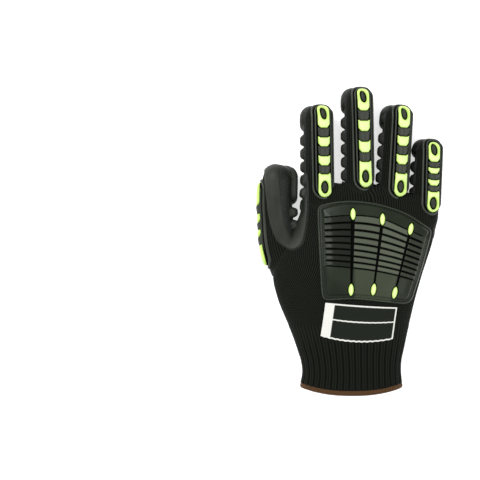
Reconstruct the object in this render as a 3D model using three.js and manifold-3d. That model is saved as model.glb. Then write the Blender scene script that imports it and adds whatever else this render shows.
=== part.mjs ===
// A right-hand anti-vibration work glove, lying palm down.
//
// X runs across the hand (thumb at -X, little finger at +X), Y from the hem to the fingertips and
// Z up through the back of the hand. The origin is under the middle of the glove, on the surface
// that it lies on. All lengths are in millimetres and all angles in degrees.
//
// A knitted liner with five finger stalls carries everything else. Its palm is covered by one rubber
// coating with raised pads, and its back by moulded guards: a louvred panel over the knuckles and a
// ribbed strip along each finger, all with bright inserts. A brown overlocked hem closes the cuff.
import * as THREE from "three";
import Module from "manifold-3d";

const wasm = await Module();
wasm.setup();

// Sizes of the hand
const handLength = 172; // from the hem to the webs between the fingers
const handWidth = 112;
const handDepth = 34;
const knuckleSlant = 14; // how far the webs drop towards the little finger
const mouthWave = 7; // how far the hem is drawn up at the two sides of the cuff

// Layers
const knitWall = 2;
const layerGap = 0.3; // clearance between two pieces that lie on each other
const coatThickness = 1;
const padHeight = 4.4;
const padSink = 0.93; // the palm pads are pressed flat by the rest of their height
const fingerSink = 0.87; // and those of the fingers by this rest
const hemHeight = 4.2;
const hemProud = 0.8; // how far the hem stands out from the knit
const labelThickness = 0.6;
const labelWidth = 58;
const labelHeight = 27;

// Rubber pads on the fingers
const ribWidth = 9.4;
const ribPitch = 10.9;
const ribHalfWrap = 72;
const thumbRibPitch = 11.5;

// Finger guards
const guardBase = 2; // height of the flange that is stitched down
const guardSeat = 0.6; // height of its underside, which spans the knit's facets
const guardRibHeight = 5.6;
const insertHeight = 4.9;
const guardHalfWrap = 48;
const insertHalfWrap = 22;
const slotLength = 9; // the oval hole in an end insert
const slotWidth = 4;

// Knuckle panel
const panelRim = 2.2;
const panelHeight = 4.6;
const louvreCount = 9;
const louvreGap = 1.3;
const louvrePitch = 5;
const columnGap = 1.8;
const grooveDepth = 1.6;
const ovalLength = 10;
const ovalWidth = 4.6;
const ovalHeight = 1.2; // how far an oval stands above the panel

// Resolution of the faceted surfaces
const handSides = 20;
const fingerSides = 10;

const radians = THREE.MathUtils.degToRad;
const lerp = THREE.MathUtils.lerp;
const padStack = layerGap + coatThickness + padHeight;

// Cross-sections of the palm and cuff. "along" is a share of handLength, the two sides are shares of
// handWidth, "sole" is the height of the underside as a share of padStack and "depth" the thickness
// as a share of handDepth.
const handSections = [
  { along: 0.026, thumbSide: -0.37, littleSide: 0.37, sole: 0.16, depth: 0.97 },
  { along: 0.08, thumbSide: -0.357, littleSide: 0.362, sole: 0.26, depth: 0.955 },
  { along: 0.17, thumbSide: -0.37, littleSide: 0.366, sole: 0.4, depth: 0.97 },
  { along: 0.26, thumbSide: -0.415, littleSide: 0.395, sole: 0.6, depth: 1.0 },
  { along: 0.35, thumbSide: -0.473, littleSide: 0.428, sole: 0.8, depth: 1.03 },
  { along: 0.465, thumbSide: -0.545, littleSide: 0.47, sole: padSink, depth: 1.05 },
  { along: 0.58, thumbSide: -0.58, littleSide: 0.52, sole: padSink, depth: 1.03 },
  { along: 0.69, thumbSide: -0.535, littleSide: 0.567, sole: padSink, depth: 0.97 },
  { along: 0.785, thumbSide: -0.43, littleSide: 0.603, sole: padSink, depth: 0.87 },
  { along: 0.87, thumbSide: -0.366, littleSide: 0.616, sole: padSink, depth: 0.75 },
  { along: 0.945, thumbSide: -0.348, littleSide: 0.635, sole: 1.0, depth: 0.64 },
  { along: 1.0, thumbSide: -0.33, littleSide: 0.64, sole: 1.5, depth: 0.45 },
];

// The finger stalls. "path" holds points of the centre line, x as a share of handWidth and y of
// handLength, and the last one is the fingertip. "width" is a share of handWidth and "depth" of
// handDepth, and "flare" is the extra width at the root. The length of the tip pad, the start of the
// guard (from the finger's root) and its end (before the fingertip) are shares of handLength.
// "padTurn" and "guardTurn" turn the pads and the guard about the finger, from straight down and
// straight up.
const fingers = {
  index: {
    path: [[-0.243, 0.81], [-0.252, 1.397]],
    width: 0.201, depth: 0.588, flare: 0, layout: "long",
    ribs: 5, tipPad: 0.134, padTurn: -16, guardTurn: -17, guardFrom: 0.131, guardEnd: 0.02,
  },
  middle: {
    path: [[0.052, 0.81], [0.047, 1.474]],
    width: 0.195, depth: 0.603, flare: 0, layout: "long",
    ribs: 6, tipPad: 0.134, padTurn: -16, guardTurn: -17, guardFrom: 0.172, guardEnd: 0.02,
  },
  ring: {
    path: [[0.282, 0.785], [0.34, 1.397]],
    width: 0.195, depth: 0.588, flare: 0, layout: "long",
    ribs: 6, tipPad: 0.128, padTurn: -16, guardTurn: -21, guardFrom: 0.157, guardEnd: 0.02,
  },
  little: {
    path: [[0.54, 0.727], [0.577, 1.232]],
    width: 0.183, depth: 0.529, flare: 0, layout: "short",
    ribs: 4, tipPad: 0.099, padTurn: -16, guardTurn: -20, guardFrom: 0.14, guardEnd: 0.018,
  },
  thumb: {
    path: [[-0.3, 0.453], [-0.43, 0.581], [-0.515, 0.709], [-0.552, 0.872], [-0.55, 1.106]],
    width: 0.214, depth: 0.676, flare: 0.5, layout: "thumb",
    ribs: 3, tipPad: 0.192, padTurn: 40, guardTurn: 88, guardFrom: 0.243, guardEnd: 0.107,
  },
};

// Pads of the palm, row by row. The ends are shares of handWidth, and "along" the height of the two
// ends of the row's centre line as shares of handLength, at the thumb side and the little side.
const palmPads = [
  { along: [0.915, 0.88], pads: [[-0.37, -0.03], [0.0, 0.26], [0.29, 0.62]] },
  { along: [0.847, 0.812], pads: [[-0.36, -0.055], [-0.025, 0.205], [0.235, 0.465], [0.51, 0.62]] },
  { along: [0.78, 0.742], pads: [[-0.245, 0.225], [0.255, 0.615]] },
  { along: [0.702, 0.69], pads: [[-0.215, 0.005], [0.04, 0.325], [0.375, 0.59]] },
  { along: [0.635, 0.618], pads: [[-0.18, 0.225], [0.28, 0.555]] },
  { along: [0.553, 0.545], pads: [[-0.167, 0.065], [0.11, 0.51]] },
  { along: [0.483, 0.47], pads: [[-0.175, 0.18], [0.235, 0.425]] },
  { along: [0.42, 0.4], pads: [[-0.275, 0.165], [0.205, 0.28]] },
];

// The pads that fan out over the ball of the thumb: both ends as [x, y] shares like a path's points.
const thumbBasePads = [
  { from: [-0.577, 0.672], to: [-0.335, 0.79] },
  { from: [-0.53, 0.612], to: [-0.29, 0.752] },
  { from: [-0.48, 0.567], to: [-0.275, 0.668] },
  { from: [-0.41, 0.516], to: [-0.27, 0.6] },
  { from: [-0.335, 0.473], to: [-0.25, 0.513] },
];

// The outline of the coating on the palm, and the loop that it makes round the thumb's web as seen
// from the back, as [x, y] shares like a path's points.
const palmCoatOutline = [
  [-0.63, 0.61], [-0.515, 0.56], [-0.43, 0.5], [-0.35, 0.44], [-0.27, 0.395], [-0.07, 0.36], [0.11, 0.357],
  [0.2, 0.37], [0.29, 0.402], [0.4, 0.445], [0.48, 0.505], [0.52, 0.57], [0.75, 0.62], [0.75, 1.02],
  [-0.4, 1.02], [-0.42, 0.86], [-0.63, 0.86],
];
const webCoatOutline = [
  [-0.64, 1.06], [-0.63, 0.96], [-0.605, 0.84], [-0.56, 0.755], [-0.49, 0.71], [-0.42, 0.7], [-0.36, 0.735],
  [-0.33, 0.815], [-0.318, 0.93], [-0.335, 1.07], [-0.4, 1.1], [-0.5, 1.2], [-0.64, 1.2],
];
const coatWrapHeight = 0.27; // how high the palm coating reaches up the sides, as a share of handDepth

// Panel outline, from the row nearest the wrist to the row nearest the fingers, as shares like above.
// "droop" is how far a row falls towards the little finger, as a share of handLength.
const panelRows = [
  { along: 0.453, thumbSide: -0.18, littleSide: 0.36, droop: 0.012 },
  { along: 0.475, thumbSide: -0.225, littleSide: 0.425, droop: 0.02 },
  { along: 0.535, thumbSide: -0.233, littleSide: 0.46, droop: 0.04 },
  { along: 0.62, thumbSide: -0.24, littleSide: 0.496, droop: 0.06 },
  { along: 0.84, thumbSide: -0.255, littleSide: 0.578, droop: 0.088 },
  { along: 0.905, thumbSide: -0.252, littleSide: 0.586, droop: 0.1 },
  { along: 0.932, thumbSide: -0.2, littleSide: 0.5, droop: 0.105 },
];
const panelColumns = [0.32, 0.57, 0.81]; // the upright grooves, as shares of the panel's width
const louvresFrom = 0.625; // the lowest louvre groove, as a share of handLength
const labelCentre = [0.048, 0.352]; // as shares like a path's points
const labelTurn = -4;

// Solids

function solid(points, triangles) {
  const vertices = new Float32Array(points.flatMap((p) => [p.x, p.y, p.z]));
  const build = (faces) =>
    new wasm.Manifold(
      new wasm.Mesh({ numProp: 3, vertProperties: vertices, triVerts: new Uint32Array(faces.flat()) }),
    );
  const made = build(triangles);
  return made.volume() < 0 ? build(triangles.map(([a, b, c]) => [a, c, b])) : made;
}

// A closed body through rings of equally many points, with its two ends capped.
function loft(rings) {
  const around = rings[0].length;
  const points = rings.flat();
  const triangles = [];
  for (let ring = 0; ring < rings.length - 1; ring++) {
    for (let side = 0; side < around; side++) {
      const a = ring * around + side;
      const b = ring * around + ((side + 1) % around);
      triangles.push([a, b, b + around], [a, b + around, a + around]);
    }
  }
  const middle = (ring) => ring.reduce((sum, p) => sum.add(p), new THREE.Vector3()).divideScalar(around);
  const last = points.length - around;
  points.push(middle(rings[0]), middle(rings.at(-1)));
  for (let side = 0; side < around; side++) {
    const next = (side + 1) % around;
    triangles.push([next, side, points.length - 2], [last + side, last + next, points.length - 1]);
  }
  return solid(points, triangles);
}

// A closed band: the last ring joins the first one.
function band(rings) {
  const around = rings[0].length;
  const triangles = [];
  rings.forEach((_, ring) => {
    const next = (ring + 1) % rings.length;
    for (let side = 0; side < around; side++) {
      const beside = (side + 1) % around;
      const [a, b] = [ring * around + side, ring * around + beside];
      const [c, d] = [next * around + side, next * around + beside];
      triangles.push([a, b, d], [a, d, c]);
    }
  });
  return solid(rings.flat(), triangles);
}

// An upright prism over an outline of [x, y] shares.
function prism(outline, low, high) {
  const ring = (z) => outline.map(([x, y]) => new THREE.Vector3(x * handWidth, y * handLength, z));
  const flat = outline.map(([x, y]) => new THREE.Vector2(x, y));
  const count = outline.length;
  const triangles = [];
  for (const [a, b, c] of THREE.ShapeUtils.triangulateShape(flat, [])) {
    triangles.push([a, c, b], [a + count, b + count, c + count]);
  }
  outline.forEach((_, i) => {
    const next = (i + 1) % count;
    triangles.push([i, next, next + count], [i, next + count, i + count]);
  });
  return solid([...ring(low), ...ring(high)], triangles);
}

const union = (solids) => solids.reduce((whole, piece) => whole.add(piece));

// The main body of a cut piece, without crumbs and sealed pockets.
const mainBody = (piece) =>
  piece.decompose().reduce((most, body) => (body.volume() > most.volume() ? body : most));

// The hand: palm and cuff as one tube

const signedPower = (value, power) => Math.sign(value) * Math.abs(value) ** power;
const soleSquareness = 3.2; // the underside is flatter than the back
const backSquareness = 2.3;
const widestAt = 0.45; // height of the widest line, as a share of the depth

// The hand's section at a distance from the hem, between two rows of the table.
function handSection(distance) {
  const along = distance / handLength;
  const next = handSections.findIndex((row) => row.along >= along);
  const upper = handSections[next < 1 ? (next < 0 ? handSections.length - 1 : 1) : next];
  const lower = handSections[handSections.indexOf(upper) - 1];
  const share = (along - lower.along) / (upper.along - lower.along);
  const at = (column) => lerp(lower[column], upper[column], share);
  const sole = at("sole") * padStack;
  const depth = at("depth") * handDepth;
  return { left: at("thumbSide") * handWidth, right: at("littleSide") * handWidth, sole, depth };
}

function handPoint(distance, angle, grow) {
  const { left, right, sole, depth } = handSection(distance);
  const cosine = Math.cos(radians(angle));
  const sine = Math.sin(radians(angle));
  const power = 2 / (sine < 0 ? soleSquareness : backSquareness);
  const half = (sine < 0 ? widestAt : 1 - widestAt) * depth + grow;
  const x = (left + right) / 2 + ((right - left) / 2 + grow) * signedPower(cosine, power);
  const z = sole + widestAt * depth + half * signedPower(sine, power);
  // The webs drop towards the little finger, and the mouth is drawn up at its two sides.
  const ramp = Math.max(0, distance / handLength - 0.58) / 0.42;
  const drop = knuckleSlant * ramp * Math.max(0, x / handWidth - 0.18) / 0.46;
  const mouth = Math.max(0, 1 - distance / handLength / 0.2);
  return new THREE.Vector3(x, distance - drop + mouthWave * mouth * cosine ** 2, z);
}

// The angle at which the hand's section passes x, on its back or on its underside.
function handAngle(distance, x, onBack) {
  const { left, right } = handSection(distance);
  const share = THREE.MathUtils.clamp((2 * x - left - right) / (right - left), -1, 1);
  const power = (onBack ? backSquareness : soleSquareness) / 2;
  const angle = THREE.MathUtils.radToDeg(Math.acos(signedPower(share, power)));
  return onBack ? angle : -angle;
}

function handBody(grow, mouthCut = 0) {
  const stations = handSections.map((row) => row.along * handLength);
  stations[0] -= mouthCut;
  stations[stations.length - 1] += grow;
  return loft(
    stations.map((distance) =>
      Array.from({ length: handSides }, (_, side) => handPoint(distance, (360 * side) / handSides, grow)),
    ),
  );
}

// Finger stalls

for (const finger of Object.values(fingers)) {
  finger.width *= handWidth;
  finger.depth *= handDepth;
  for (const size of ["tipPad", "guardFrom", "guardEnd"]) {
    finger[size] *= handLength;
  }
  const height = fingerSink * padStack + finger.depth / 2;
  const points = finger.path.map(([x, y]) => new THREE.Vector3(x * handWidth, y * handLength, height));
  finger.curve = new THREE.CatmullRomCurve3(points);
  finger.length = finger.curve.getLength();
  finger.dome = finger.width / 2;
  finger.straight = finger.length - finger.dome;
}

const rootTaper = 0.8;
const rootLength = 14;

// A point on a finger. "distance" runs from the root, over the rounded tip too, "angle" goes round the
// finger from the little-finger side over the back, and "height" is measured out from the knit.
function fingerPoint(finger, distance, angle, height) {
  const tilt = Math.max(0, distance - finger.straight) / finger.dome;
  const along = Math.min(distance, finger.straight) + (finger.dome + height) * Math.sin(tilt);
  const at = THREE.MathUtils.clamp(along / finger.length, 0, 1);
  const ahead = finger.curve.getTangentAt(at);
  const across = new THREE.Vector3().crossVectors(ahead, new THREE.Vector3(0, 0, 1)).normalize();
  const flare = 1 + finger.flare * Math.max(0, 1 - (1.6 * along) / finger.length);
  // The root is tapered, which sinks it into the hand.
  const root = Math.min(1, rootTaper + (1 - rootTaper) * (along / rootLength));
  const wide = ((finger.width / 2) * flare * root + height) * Math.cos(tilt);
  const deep = ((finger.depth / 2) * root + height) * Math.cos(tilt);
  return finger.curve
    .getPointAt(at)
    .addScaledVector(ahead, along - at * finger.length)
    .addScaledVector(across, wide * Math.cos(radians(angle)))
    .add(new THREE.Vector3(0, 0, deep * Math.sin(radians(angle))));
}

function fingerBody(finger, grow) {
  const bends = finger.flare ? [0.25, 0.45, 0.6, 0.8, 1] : [1];
  const straight = [-grow, rootLength, ...bends.map((share) => share * finger.straight)];
  const dome = [0.35, 0.7, 0.95].map((share) => finger.straight + (share * Math.PI * finger.dome) / 2);
  return loft(
    [...straight, ...dome].map((distance) =>
      Array.from({ length: fingerSides }, (_, side) =>
        fingerPoint(finger, distance, (360 * side) / fingerSides, grow),
      ),
    ),
  );
}

// The whole hand, grown or shrunk evenly.
function hand(grow, mouthCut = 0) {
  return union([handBody(grow, mouthCut), ...Object.values(fingers).map((f) => fingerBody(f, grow))]);
}

const mouthOpening = 20; // the hollow is cut this far past the mouth, so that it is open
const knit = hand(0);
const seat = hand(layerGap);
const liner = knit.subtract(hand(-knitWall, mouthOpening));

// The hem hugs the mouth just below the knit.
const hemEdge = handSections[0].along * handLength - layerGap;
const hem = band(
  Array.from({ length: handSides }, (_, side) => {
    const angle = (360 * side) / handSides;
    const corner = (drop, grow) => {
      const point = handPoint(handSections[0].along * handLength, angle, grow);
      point.y += hemEdge - handSections[0].along * handLength - drop;
      return point;
    };
    return [
      corner(0, hemProud), corner(0, -knitWall - hemProud), corner(0.6 * hemHeight, -knitWall - hemProud),
      corner(hemHeight, -knitWall / 2), corner(0.6 * hemHeight, hemProud),
    ];
  }),
);

// Guards along the fingers

// A strip on a finger's back: rows along the finger, each with its half wrap and height.
const guardProfile = [
  [-1, 0], [-0.9, 1], [-0.45, 1], [0, 1], [0.45, 1], [0.9, 1], [1, 0], [0.5, 0], [0, 0], [-0.5, 0],
];
const blockProfile = [[-1, 0], [-0.85, 1], [0.85, 1], [1, 0], [0, 0]];

function strip(finger, rows, profile) {
  const middle = 90 + finger.guardTurn;
  return loft(
    rows.map(({ at, wrap, low, high }) =>
      profile.map(([side, rise]) =>
        fingerPoint(finger, at, middle + side * wrap, lerp(low, high, rise)),
      ),
    ),
  );
}

// A guard is divided along its length into inserts and ribs, as shares of its length.
const guardLayouts = {
  long: [
    { insert: "base", from: 0.035, to: 0.284, slot: 0.4 },
    { insert: "lower", from: 0.36, to: 0.475 },
    { insert: "upper", from: 0.55, to: 0.665 },
    { insert: "tip", from: 0.741, to: 0.935, slot: 0.6 },
  ],
  short: [
    { insert: "base", from: 0.043, to: 0.32, slot: 0.4 },
    { insert: "lower", from: 0.376, to: 0.47 },
    { insert: "upper", from: 0.527, to: 0.621 },
    { insert: "tip", from: 0.675, to: 0.907, slot: 0.6 },
  ],
  thumb: [
    { insert: "base", from: 0.05, to: 0.234, slot: 0.4 },
    { insert: "lower", from: 0.313, to: 0.409 },
    { insert: "upper", from: 0.479, to: 0.594 },
    { insert: "tip", from: 0.676, to: 0.955, slot: 0.6 },
  ],
};

const guardEnds = [
  { at: 0, wide: 0.45 }, { at: 0.035, wide: 0.8 }, { at: 0.09, wide: 1 }, { at: 0.27, wide: 1 },
  { at: 0.45, wide: 1 }, { at: 0.62, wide: 1 }, { at: 0.78, wide: 1 }, { at: 0.88, wide: 0.96 },
  { at: 0.96, wide: 0.8 }, { at: 1, wide: 0.5 },
];

function guardSpan(finger) {
  const from = finger.guardFrom;
  const to = finger.straight + (Math.PI / 2) * finger.dome - finger.guardEnd;
  return { from, to, at: (share) => lerp(from, to, share) };
}

function fingerGuard(finger) {
  const span = guardSpan(finger);
  const flangeRow = ({ at, wide }) => ({
    at: span.at(at), wrap: wide * guardHalfWrap, low: guardSeat, high: guardBase,
  });
  const flange = strip(finger, guardEnds.map(flangeRow), guardProfile);
  const layout = guardLayouts[finger.layout];
  const ribs = layout.slice(1).map((insert, i) => {
    const from = span.at(layout[i].to) + layerGap;
    const to = span.at(insert.from) - layerGap;
    const row = (at, share) => ({
      at, wrap: 1.1 * insertHalfWrap, low: guardSeat / 2, high: share * guardRibHeight,
    });
    return strip(finger, [row(from, 0.8), row(lerp(from, to, 0.5), 1), row(to, 0.8)], blockProfile);
  });
  return mainBody(union([flange, ...ribs]).subtract(seat));
}

// The room that a guard takes up, with a clearance all round.
function guardFootprint(finger, clearance) {
  const span = guardSpan(finger);
  const spare = (clearance / (finger.depth / 2)) * THREE.MathUtils.RAD2DEG;
  const rows = guardEnds.map(({ at, wide }) => ({
    at: lerp(span.from - clearance, span.to + clearance, at),
    wrap: wide * guardHalfWrap + spare,
    low: -coatThickness,
    high: 3 * guardRibHeight,
  }));
  return strip(finger, rows, [[-1, 0], [-1, 1], [0, 1], [1, 1], [1, 0], [0, 0]]);
}

function fingerInsert(finger, { from, to, slot }) {
  const span = guardSpan(finger);
  const low = guardBase + 1.5 * layerGap; // the facets of the curved fingertip need a little more room
  const row = (share, wide, high) => ({
    at: span.at(lerp(from, to, share)), wrap: wide * insertHalfWrap, low, high: high * insertHeight,
  });
  const round = slot !== undefined;
  const nearTip = slot > 0.5;
  const rows = round
    ? [row(0, nearTip ? 0.8 : 0.55, 0.85), row(0.2, nearTip ? 1 : 0.95, 1), row(0.5, 1, 1),
      row(0.8, nearTip ? 0.95 : 1, 1), row(1, nearTip ? 0.55 : 1, 0.85)]
    : [row(0, 0.8, 0.9), row(0.3, 1, 1), row(1, 1, 0.95)];
  const body = strip(finger, rows, blockProfile);
  if (!round) return body;
  const centre = span.at(lerp(from, to, slot));
  const middle = 90 + finger.guardTurn;
  const turn = (slotWidth / 2 / (finger.depth / 2 + insertHeight)) * THREE.MathUtils.RAD2DEG;
  const hole = (height) =>
    Array.from({ length: 8 }, (_, i) => {
      const angle = (i / 8) * 2 * Math.PI;
      const distance = centre + (slotLength / 2) * Math.cos(angle);
      return fingerPoint(finger, distance, middle + turn * Math.sin(angle), height);
    });
  return body.subtract(loft([hole(0), hole(2 * insertHeight)]));
}

// Rubber pads

// A pad is lofted along its length: "place" turns a share of the length, a share of the half width and
// a height into a point. The ends are rounded and fall away, and the profile has sloping flanks.
const padTop = layerGap + coatThickness + padHeight;
const padRoot = layerGap + 0.3 * coatThickness; // a pad starts inside the coating
const padWidth = ribWidth / 2;
const padEnds = [{ at: 0, width: 0.62, height: 0.55 }, { at: 0.9, width: 1, height: 1 }];
const ribEnds = [{ at: 0, width: 0.62, height: 0.36 }, { at: 0.9, width: 1, height: 0.76 }];
const padProfile = [[-1, 0], [-0.8, 1], [0.8, 1], [1, 0]];

function pad(place, length, steps, endRows) {
  const reach = Math.min(padWidth / length, 0.45);
  const rows = endRows.map((row) => ({ ...row, at: row.at * reach }));
  const middle = Array.from({ length: steps }, (_, i) => ({
    at: lerp(rows.at(-1).at, 1 - rows.at(-1).at, (i + 1) / (steps + 1)), width: 1, height: 1,
  }));
  const ends = rows.map((row) => ({ ...row, at: 1 - row.at })).reverse();
  return loft(
    [...rows, ...middle, ...ends].map(({ at, width, height }) =>
      padProfile.map(([side, rise]) => place(at, side * width, rise ? rise * height : 0)),
    ),
  );
}

const padRise = (rise) => (rise > 0 ? rise * padTop : padRoot);

// A rib goes round a finger, from one side of the pad direction to the other.
function ribPad(finger, distance) {
  const middle = -90 + finger.padTurn;
  const arc = 2 * radians(ribHalfWrap) * (finger.width / 2 + padTop);
  const place = (at, side, rise) =>
    fingerPoint(finger, distance + side * padWidth, middle + (2 * at - 1) * ribHalfWrap, padRise(rise));
  return pad(place, arc, 2, ribEnds);
}

// The large pad under a fingertip, lofted along the finger and wrapped round it.
const tipProfile = [[-1, 0], [-0.92, 0.72], [-0.45, 1], [0.45, 1], [0.92, 0.72], [1, 0]];
const tipRows = [
  { at: 0, width: 0.84, height: 0.5 },
  { at: 0.08, width: 0.97, height: 0.95 },
  { at: 0.5, width: 1, height: 1 },
  { at: 0.72, width: 0.95, height: 1 },
  { at: 0.88, width: 0.8, height: 0.9 },
  { at: 1, width: 0.5, height: 0.45 },
];

function tipPad(finger) {
  const middle = -90 + finger.padTurn;
  const end = finger.straight + 0.95 * finger.dome;
  const start = end - finger.tipPad;
  const point = ({ at, width, height }, [side, rise]) => {
    const lift = rise > 0 ? rise * height * padTop : padRoot;
    return fingerPoint(finger, lerp(start, end, at), middle + side * width * ribHalfWrap, lift);
  };
  return loft(tipRows.map((row) => tipProfile.map((corner) => point(row, corner))));
}

function fingerPads(finger) {
  const pitch = finger.flare ? thumbRibPitch : ribPitch;
  const first = finger.straight + 0.95 * finger.dome - finger.tipPad - pitch / 2 - 0.2;
  const ribs = Array.from({ length: finger.ribs }, (_, i) => ribPad(finger, first - i * pitch));
  return [tipPad(finger), ...ribs];
}

// A pad on the underside of the hand, between two points. It thins out towards the sides of the hand.
function palmPad(from, to) {
  const across = new THREE.Vector2(to[0] - from[0], to[1] - from[1]);
  const length = across.length();
  const beside = new THREE.Vector2(-across.y, across.x).divideScalar(length);
  const place = (at, side, rise) => {
    const distance = lerp(from[1], to[1], at) + beside.y * side * padWidth;
    const { left, right } = handSection(distance);
    const wanted = lerp(from[0], to[0], at) + beside.x * side * padWidth;
    const x = THREE.MathUtils.clamp(wanted, left + coatThickness, right - coatThickness);
    const edge = Math.abs(2 * x - left - right) / (right - left);
    const thinning = 1 - 0.7 * THREE.MathUtils.smoothstep(edge, 0.8, 1);
    return handPoint(distance, handAngle(distance, x, false), padRise(rise * thinning));
  };
  return pad(place, length, length > 4 * ribWidth ? 1 : 0, padEnds);
}

const shares = ([x, y]) => [x * handWidth, y * handLength];
const rowsOfPads = palmPads.flatMap(({ along, pads }) => {
  const [left, right] = [-0.4, 0.65];
  const heightAt = (x) => lerp(along[0], along[1], (x - left) / (right - left));
  return pads.map(([from, to]) => palmPad(shares([from, heightAt(from)]), shares([to, heightAt(to)])));
});
const fanOfPads = thumbBasePads.map(({ from, to }) => palmPad(shares(from), shares(to)));

// The coating itself: a skin round the hand wherever one of these zones reaches.
const below = -padStack;
const fingerZones = Object.values(fingers).map((finger) => {
  const middle = -90 + finger.padTurn;
  const end = finger.straight + 0.6 * finger.dome;
  const reach = coatThickness + padHeight;
  return loft(
    [0.15 * end, 0.4 * end, 0.7 * end, finger.straight, end].map((distance) => [
      fingerPoint(finger, distance, middle, -0.9 * (finger.depth / 2)),
      ...[-86, -60, -30, 0, 30, 60, 86].map((turn) => fingerPoint(finger, distance, middle + turn, reach)),
    ]),
  );
});
const zones = union([
  prism(palmCoatOutline, below, padSink * padStack + coatWrapHeight * handDepth),
  prism(webCoatOutline, below, padStack + 2 * handDepth),
  ...fingerZones,
]);
const floor = prism([[-2, -1], [2, -1], [2, 3], [-2, 3]], -4 * padStack, 0);
const skin = hand(layerGap + coatThickness).intersect(zones);
const pads = union([...Object.values(fingers).flatMap(fingerPads), ...rowsOfPads, ...fanOfPads]);
const thumbGuardRoom = guardFootprint(fingers.thumb, 1.5 * layerGap);
const coating = mainBody(skin.add(pads).subtract(seat).subtract(floor).subtract(thumbGuardRoom));

// The panel over the knuckles

// A point on the panel, by its share across and its distance along the thumb side.
function panelPoint(across, distance, height) {
  const along = distance / handLength;
  const next = Math.max(1, panelRows.findIndex((row) => row.along >= along - 1e-9));
  const [lower, upper] = [panelRows[next - 1], panelRows[next]];
  const share = (along - lower.along) / (upper.along - lower.along);
  const at = (column) => lerp(lower[column], upper[column], share);
  const x = lerp(at("thumbSide"), at("littleSide"), across) * handWidth;
  const fallen = distance - at("droop") * handLength * across ** 1.6;
  return handPoint(fallen, handAngle(fallen, x, true), height);
}

const panelEdge = 0.055; // width of the stitched rim, as a share of the panel's width
const louvreRows = Array.from({ length: louvreCount }, (_, i) => louvresFrom * handLength + i * louvrePitch);
const rowStops = [
  ...panelRows.slice(0, 2).map((row) => ({ at: row.along * handLength, height: panelRim })),
  { at: (panelRows[1].along + 0.02) * handLength, height: panelHeight },
  ...louvreRows.flatMap((at) => [
    { at: at - louvreGap / 2, height: panelHeight },
    { at, height: panelHeight - grooveDepth },
    { at: at + louvreGap / 2, height: panelHeight },
  ]),
  { at: (panelRows.at(-2).along - 0.012) * handLength, height: panelHeight },
  ...panelRows.slice(-2).map((row) => ({ at: row.along * handLength, height: panelRim })),
];
const panelRing = ({ at, height }) => {
  const rim = Math.min(height, panelRim);
  const columns = [
    [0, -coatThickness], [0, rim], [panelEdge, rim], [1.5 * panelEdge, height], [0.2, height],
    ...panelColumns.map((across) => [across, height]),
    [1 - 1.5 * panelEdge, height], [1 - panelEdge, rim], [1, rim], [1, -coatThickness],
  ];
  return columns.map(([across, rise]) => panelPoint(across, at, rise));
};
const panelSlab = loft(rowStops.map(panelRing));

// An upright groove, and the ovals at its two ends.
const grooveFrom = panelRows[1].along * handLength + 0.65 * ovalLength;
const grooveTo = panelRows.at(-2).along * handLength - 0.55 * ovalLength;
const grooves = panelColumns.map((across) => {
  const half = columnGap / handWidth;
  return loft(
    [0, 0.33, 0.66, 1].map((share) => {
      const at = lerp(grooveFrom, grooveTo, share);
      const edge = (side, height) => panelPoint(across + side * half, at, height);
      return [edge(-1, panelHeight - grooveDepth), edge(-1, 2 * panelHeight), edge(1, 2 * panelHeight),
        edge(1, panelHeight - grooveDepth)];
    }),
  );
});

function oval(across, distance, grow, low, high) {
  const ring = (height, share) =>
    Array.from({ length: 10 }, (_, i) => {
      const angle = (i / 10) * 2 * Math.PI;
      const side = ((ovalWidth / 2) * share + grow) * Math.sin(angle) / (0.75 * handWidth);
      const along = ((ovalLength / 2) * share + grow) * Math.cos(angle);
      return panelPoint(across + side, distance + along, height);
    });
  return loft([ring(low, 1), ring(lerp(low, high, 0.7), 1), ring(high, 0.6)]);
}
const ovalPlaces = panelColumns.flatMap((across, i) => [
  { name: `panel_oval_upper_${i + 1}`, across, at: grooveTo },
  { name: `panel_oval_lower_${i + 1}`, across, at: grooveFrom },
]);
const pocketDepth = panelHeight - grooveDepth;
const pockets = ovalPlaces.map(({ across, at }) => oval(across, at, layerGap, pocketDepth, 2 * panelHeight));
const panel = mainBody(panelSlab.subtract(seat).subtract(union(grooves)).subtract(union(pockets)));
const ovals = ovalPlaces.map(({ across, at }) =>
  oval(across, at, 0, pocketDepth + layerGap, panelHeight + ovalHeight),
);

// The printed label on the back of the cuff
const labelStops = [-1, -0.5, 0, 0.5, 1];

function labelPoint(side, at, height) {
  const turned = new THREE.Vector2((side * labelWidth) / 2, (at * labelHeight) / 2);
  turned.rotateAround(new THREE.Vector2(), radians(labelTurn));
  const x = labelCentre[0] * handWidth + turned.x;
  const distance = labelCentre[1] * handLength + turned.y;
  return handPoint(distance, handAngle(distance, x, true), height);
}

const labelRing = (at) => [
  ...labelStops.map((side) => labelPoint(side, at, layerGap + labelThickness)),
  ...labelStops.toReversed().map((side) => labelPoint(side, at, 0)),
];
const label = loft(labelStops.map(labelRing)).subtract(seat);

// Materials, meshes and the assembled group

const material = (color, roughness) => new THREE.MeshStandardMaterial({ color, roughness, metalness: 0 });
const knitYarn = material(0x171a16, 0.95);
const padRubber = material(0x3a3f39, 0.55);
const guardRubber = material(0x2c302b, 0.45);
const brightRubber = material(0xd6f76a, 0.5);
const hemYarn = material(0x5a3d24, 0.9);
const labelInk = material(0x2e332f, 0.7);

const glove = new THREE.Group();
glove.name = "anti_vibration_glove";

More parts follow.
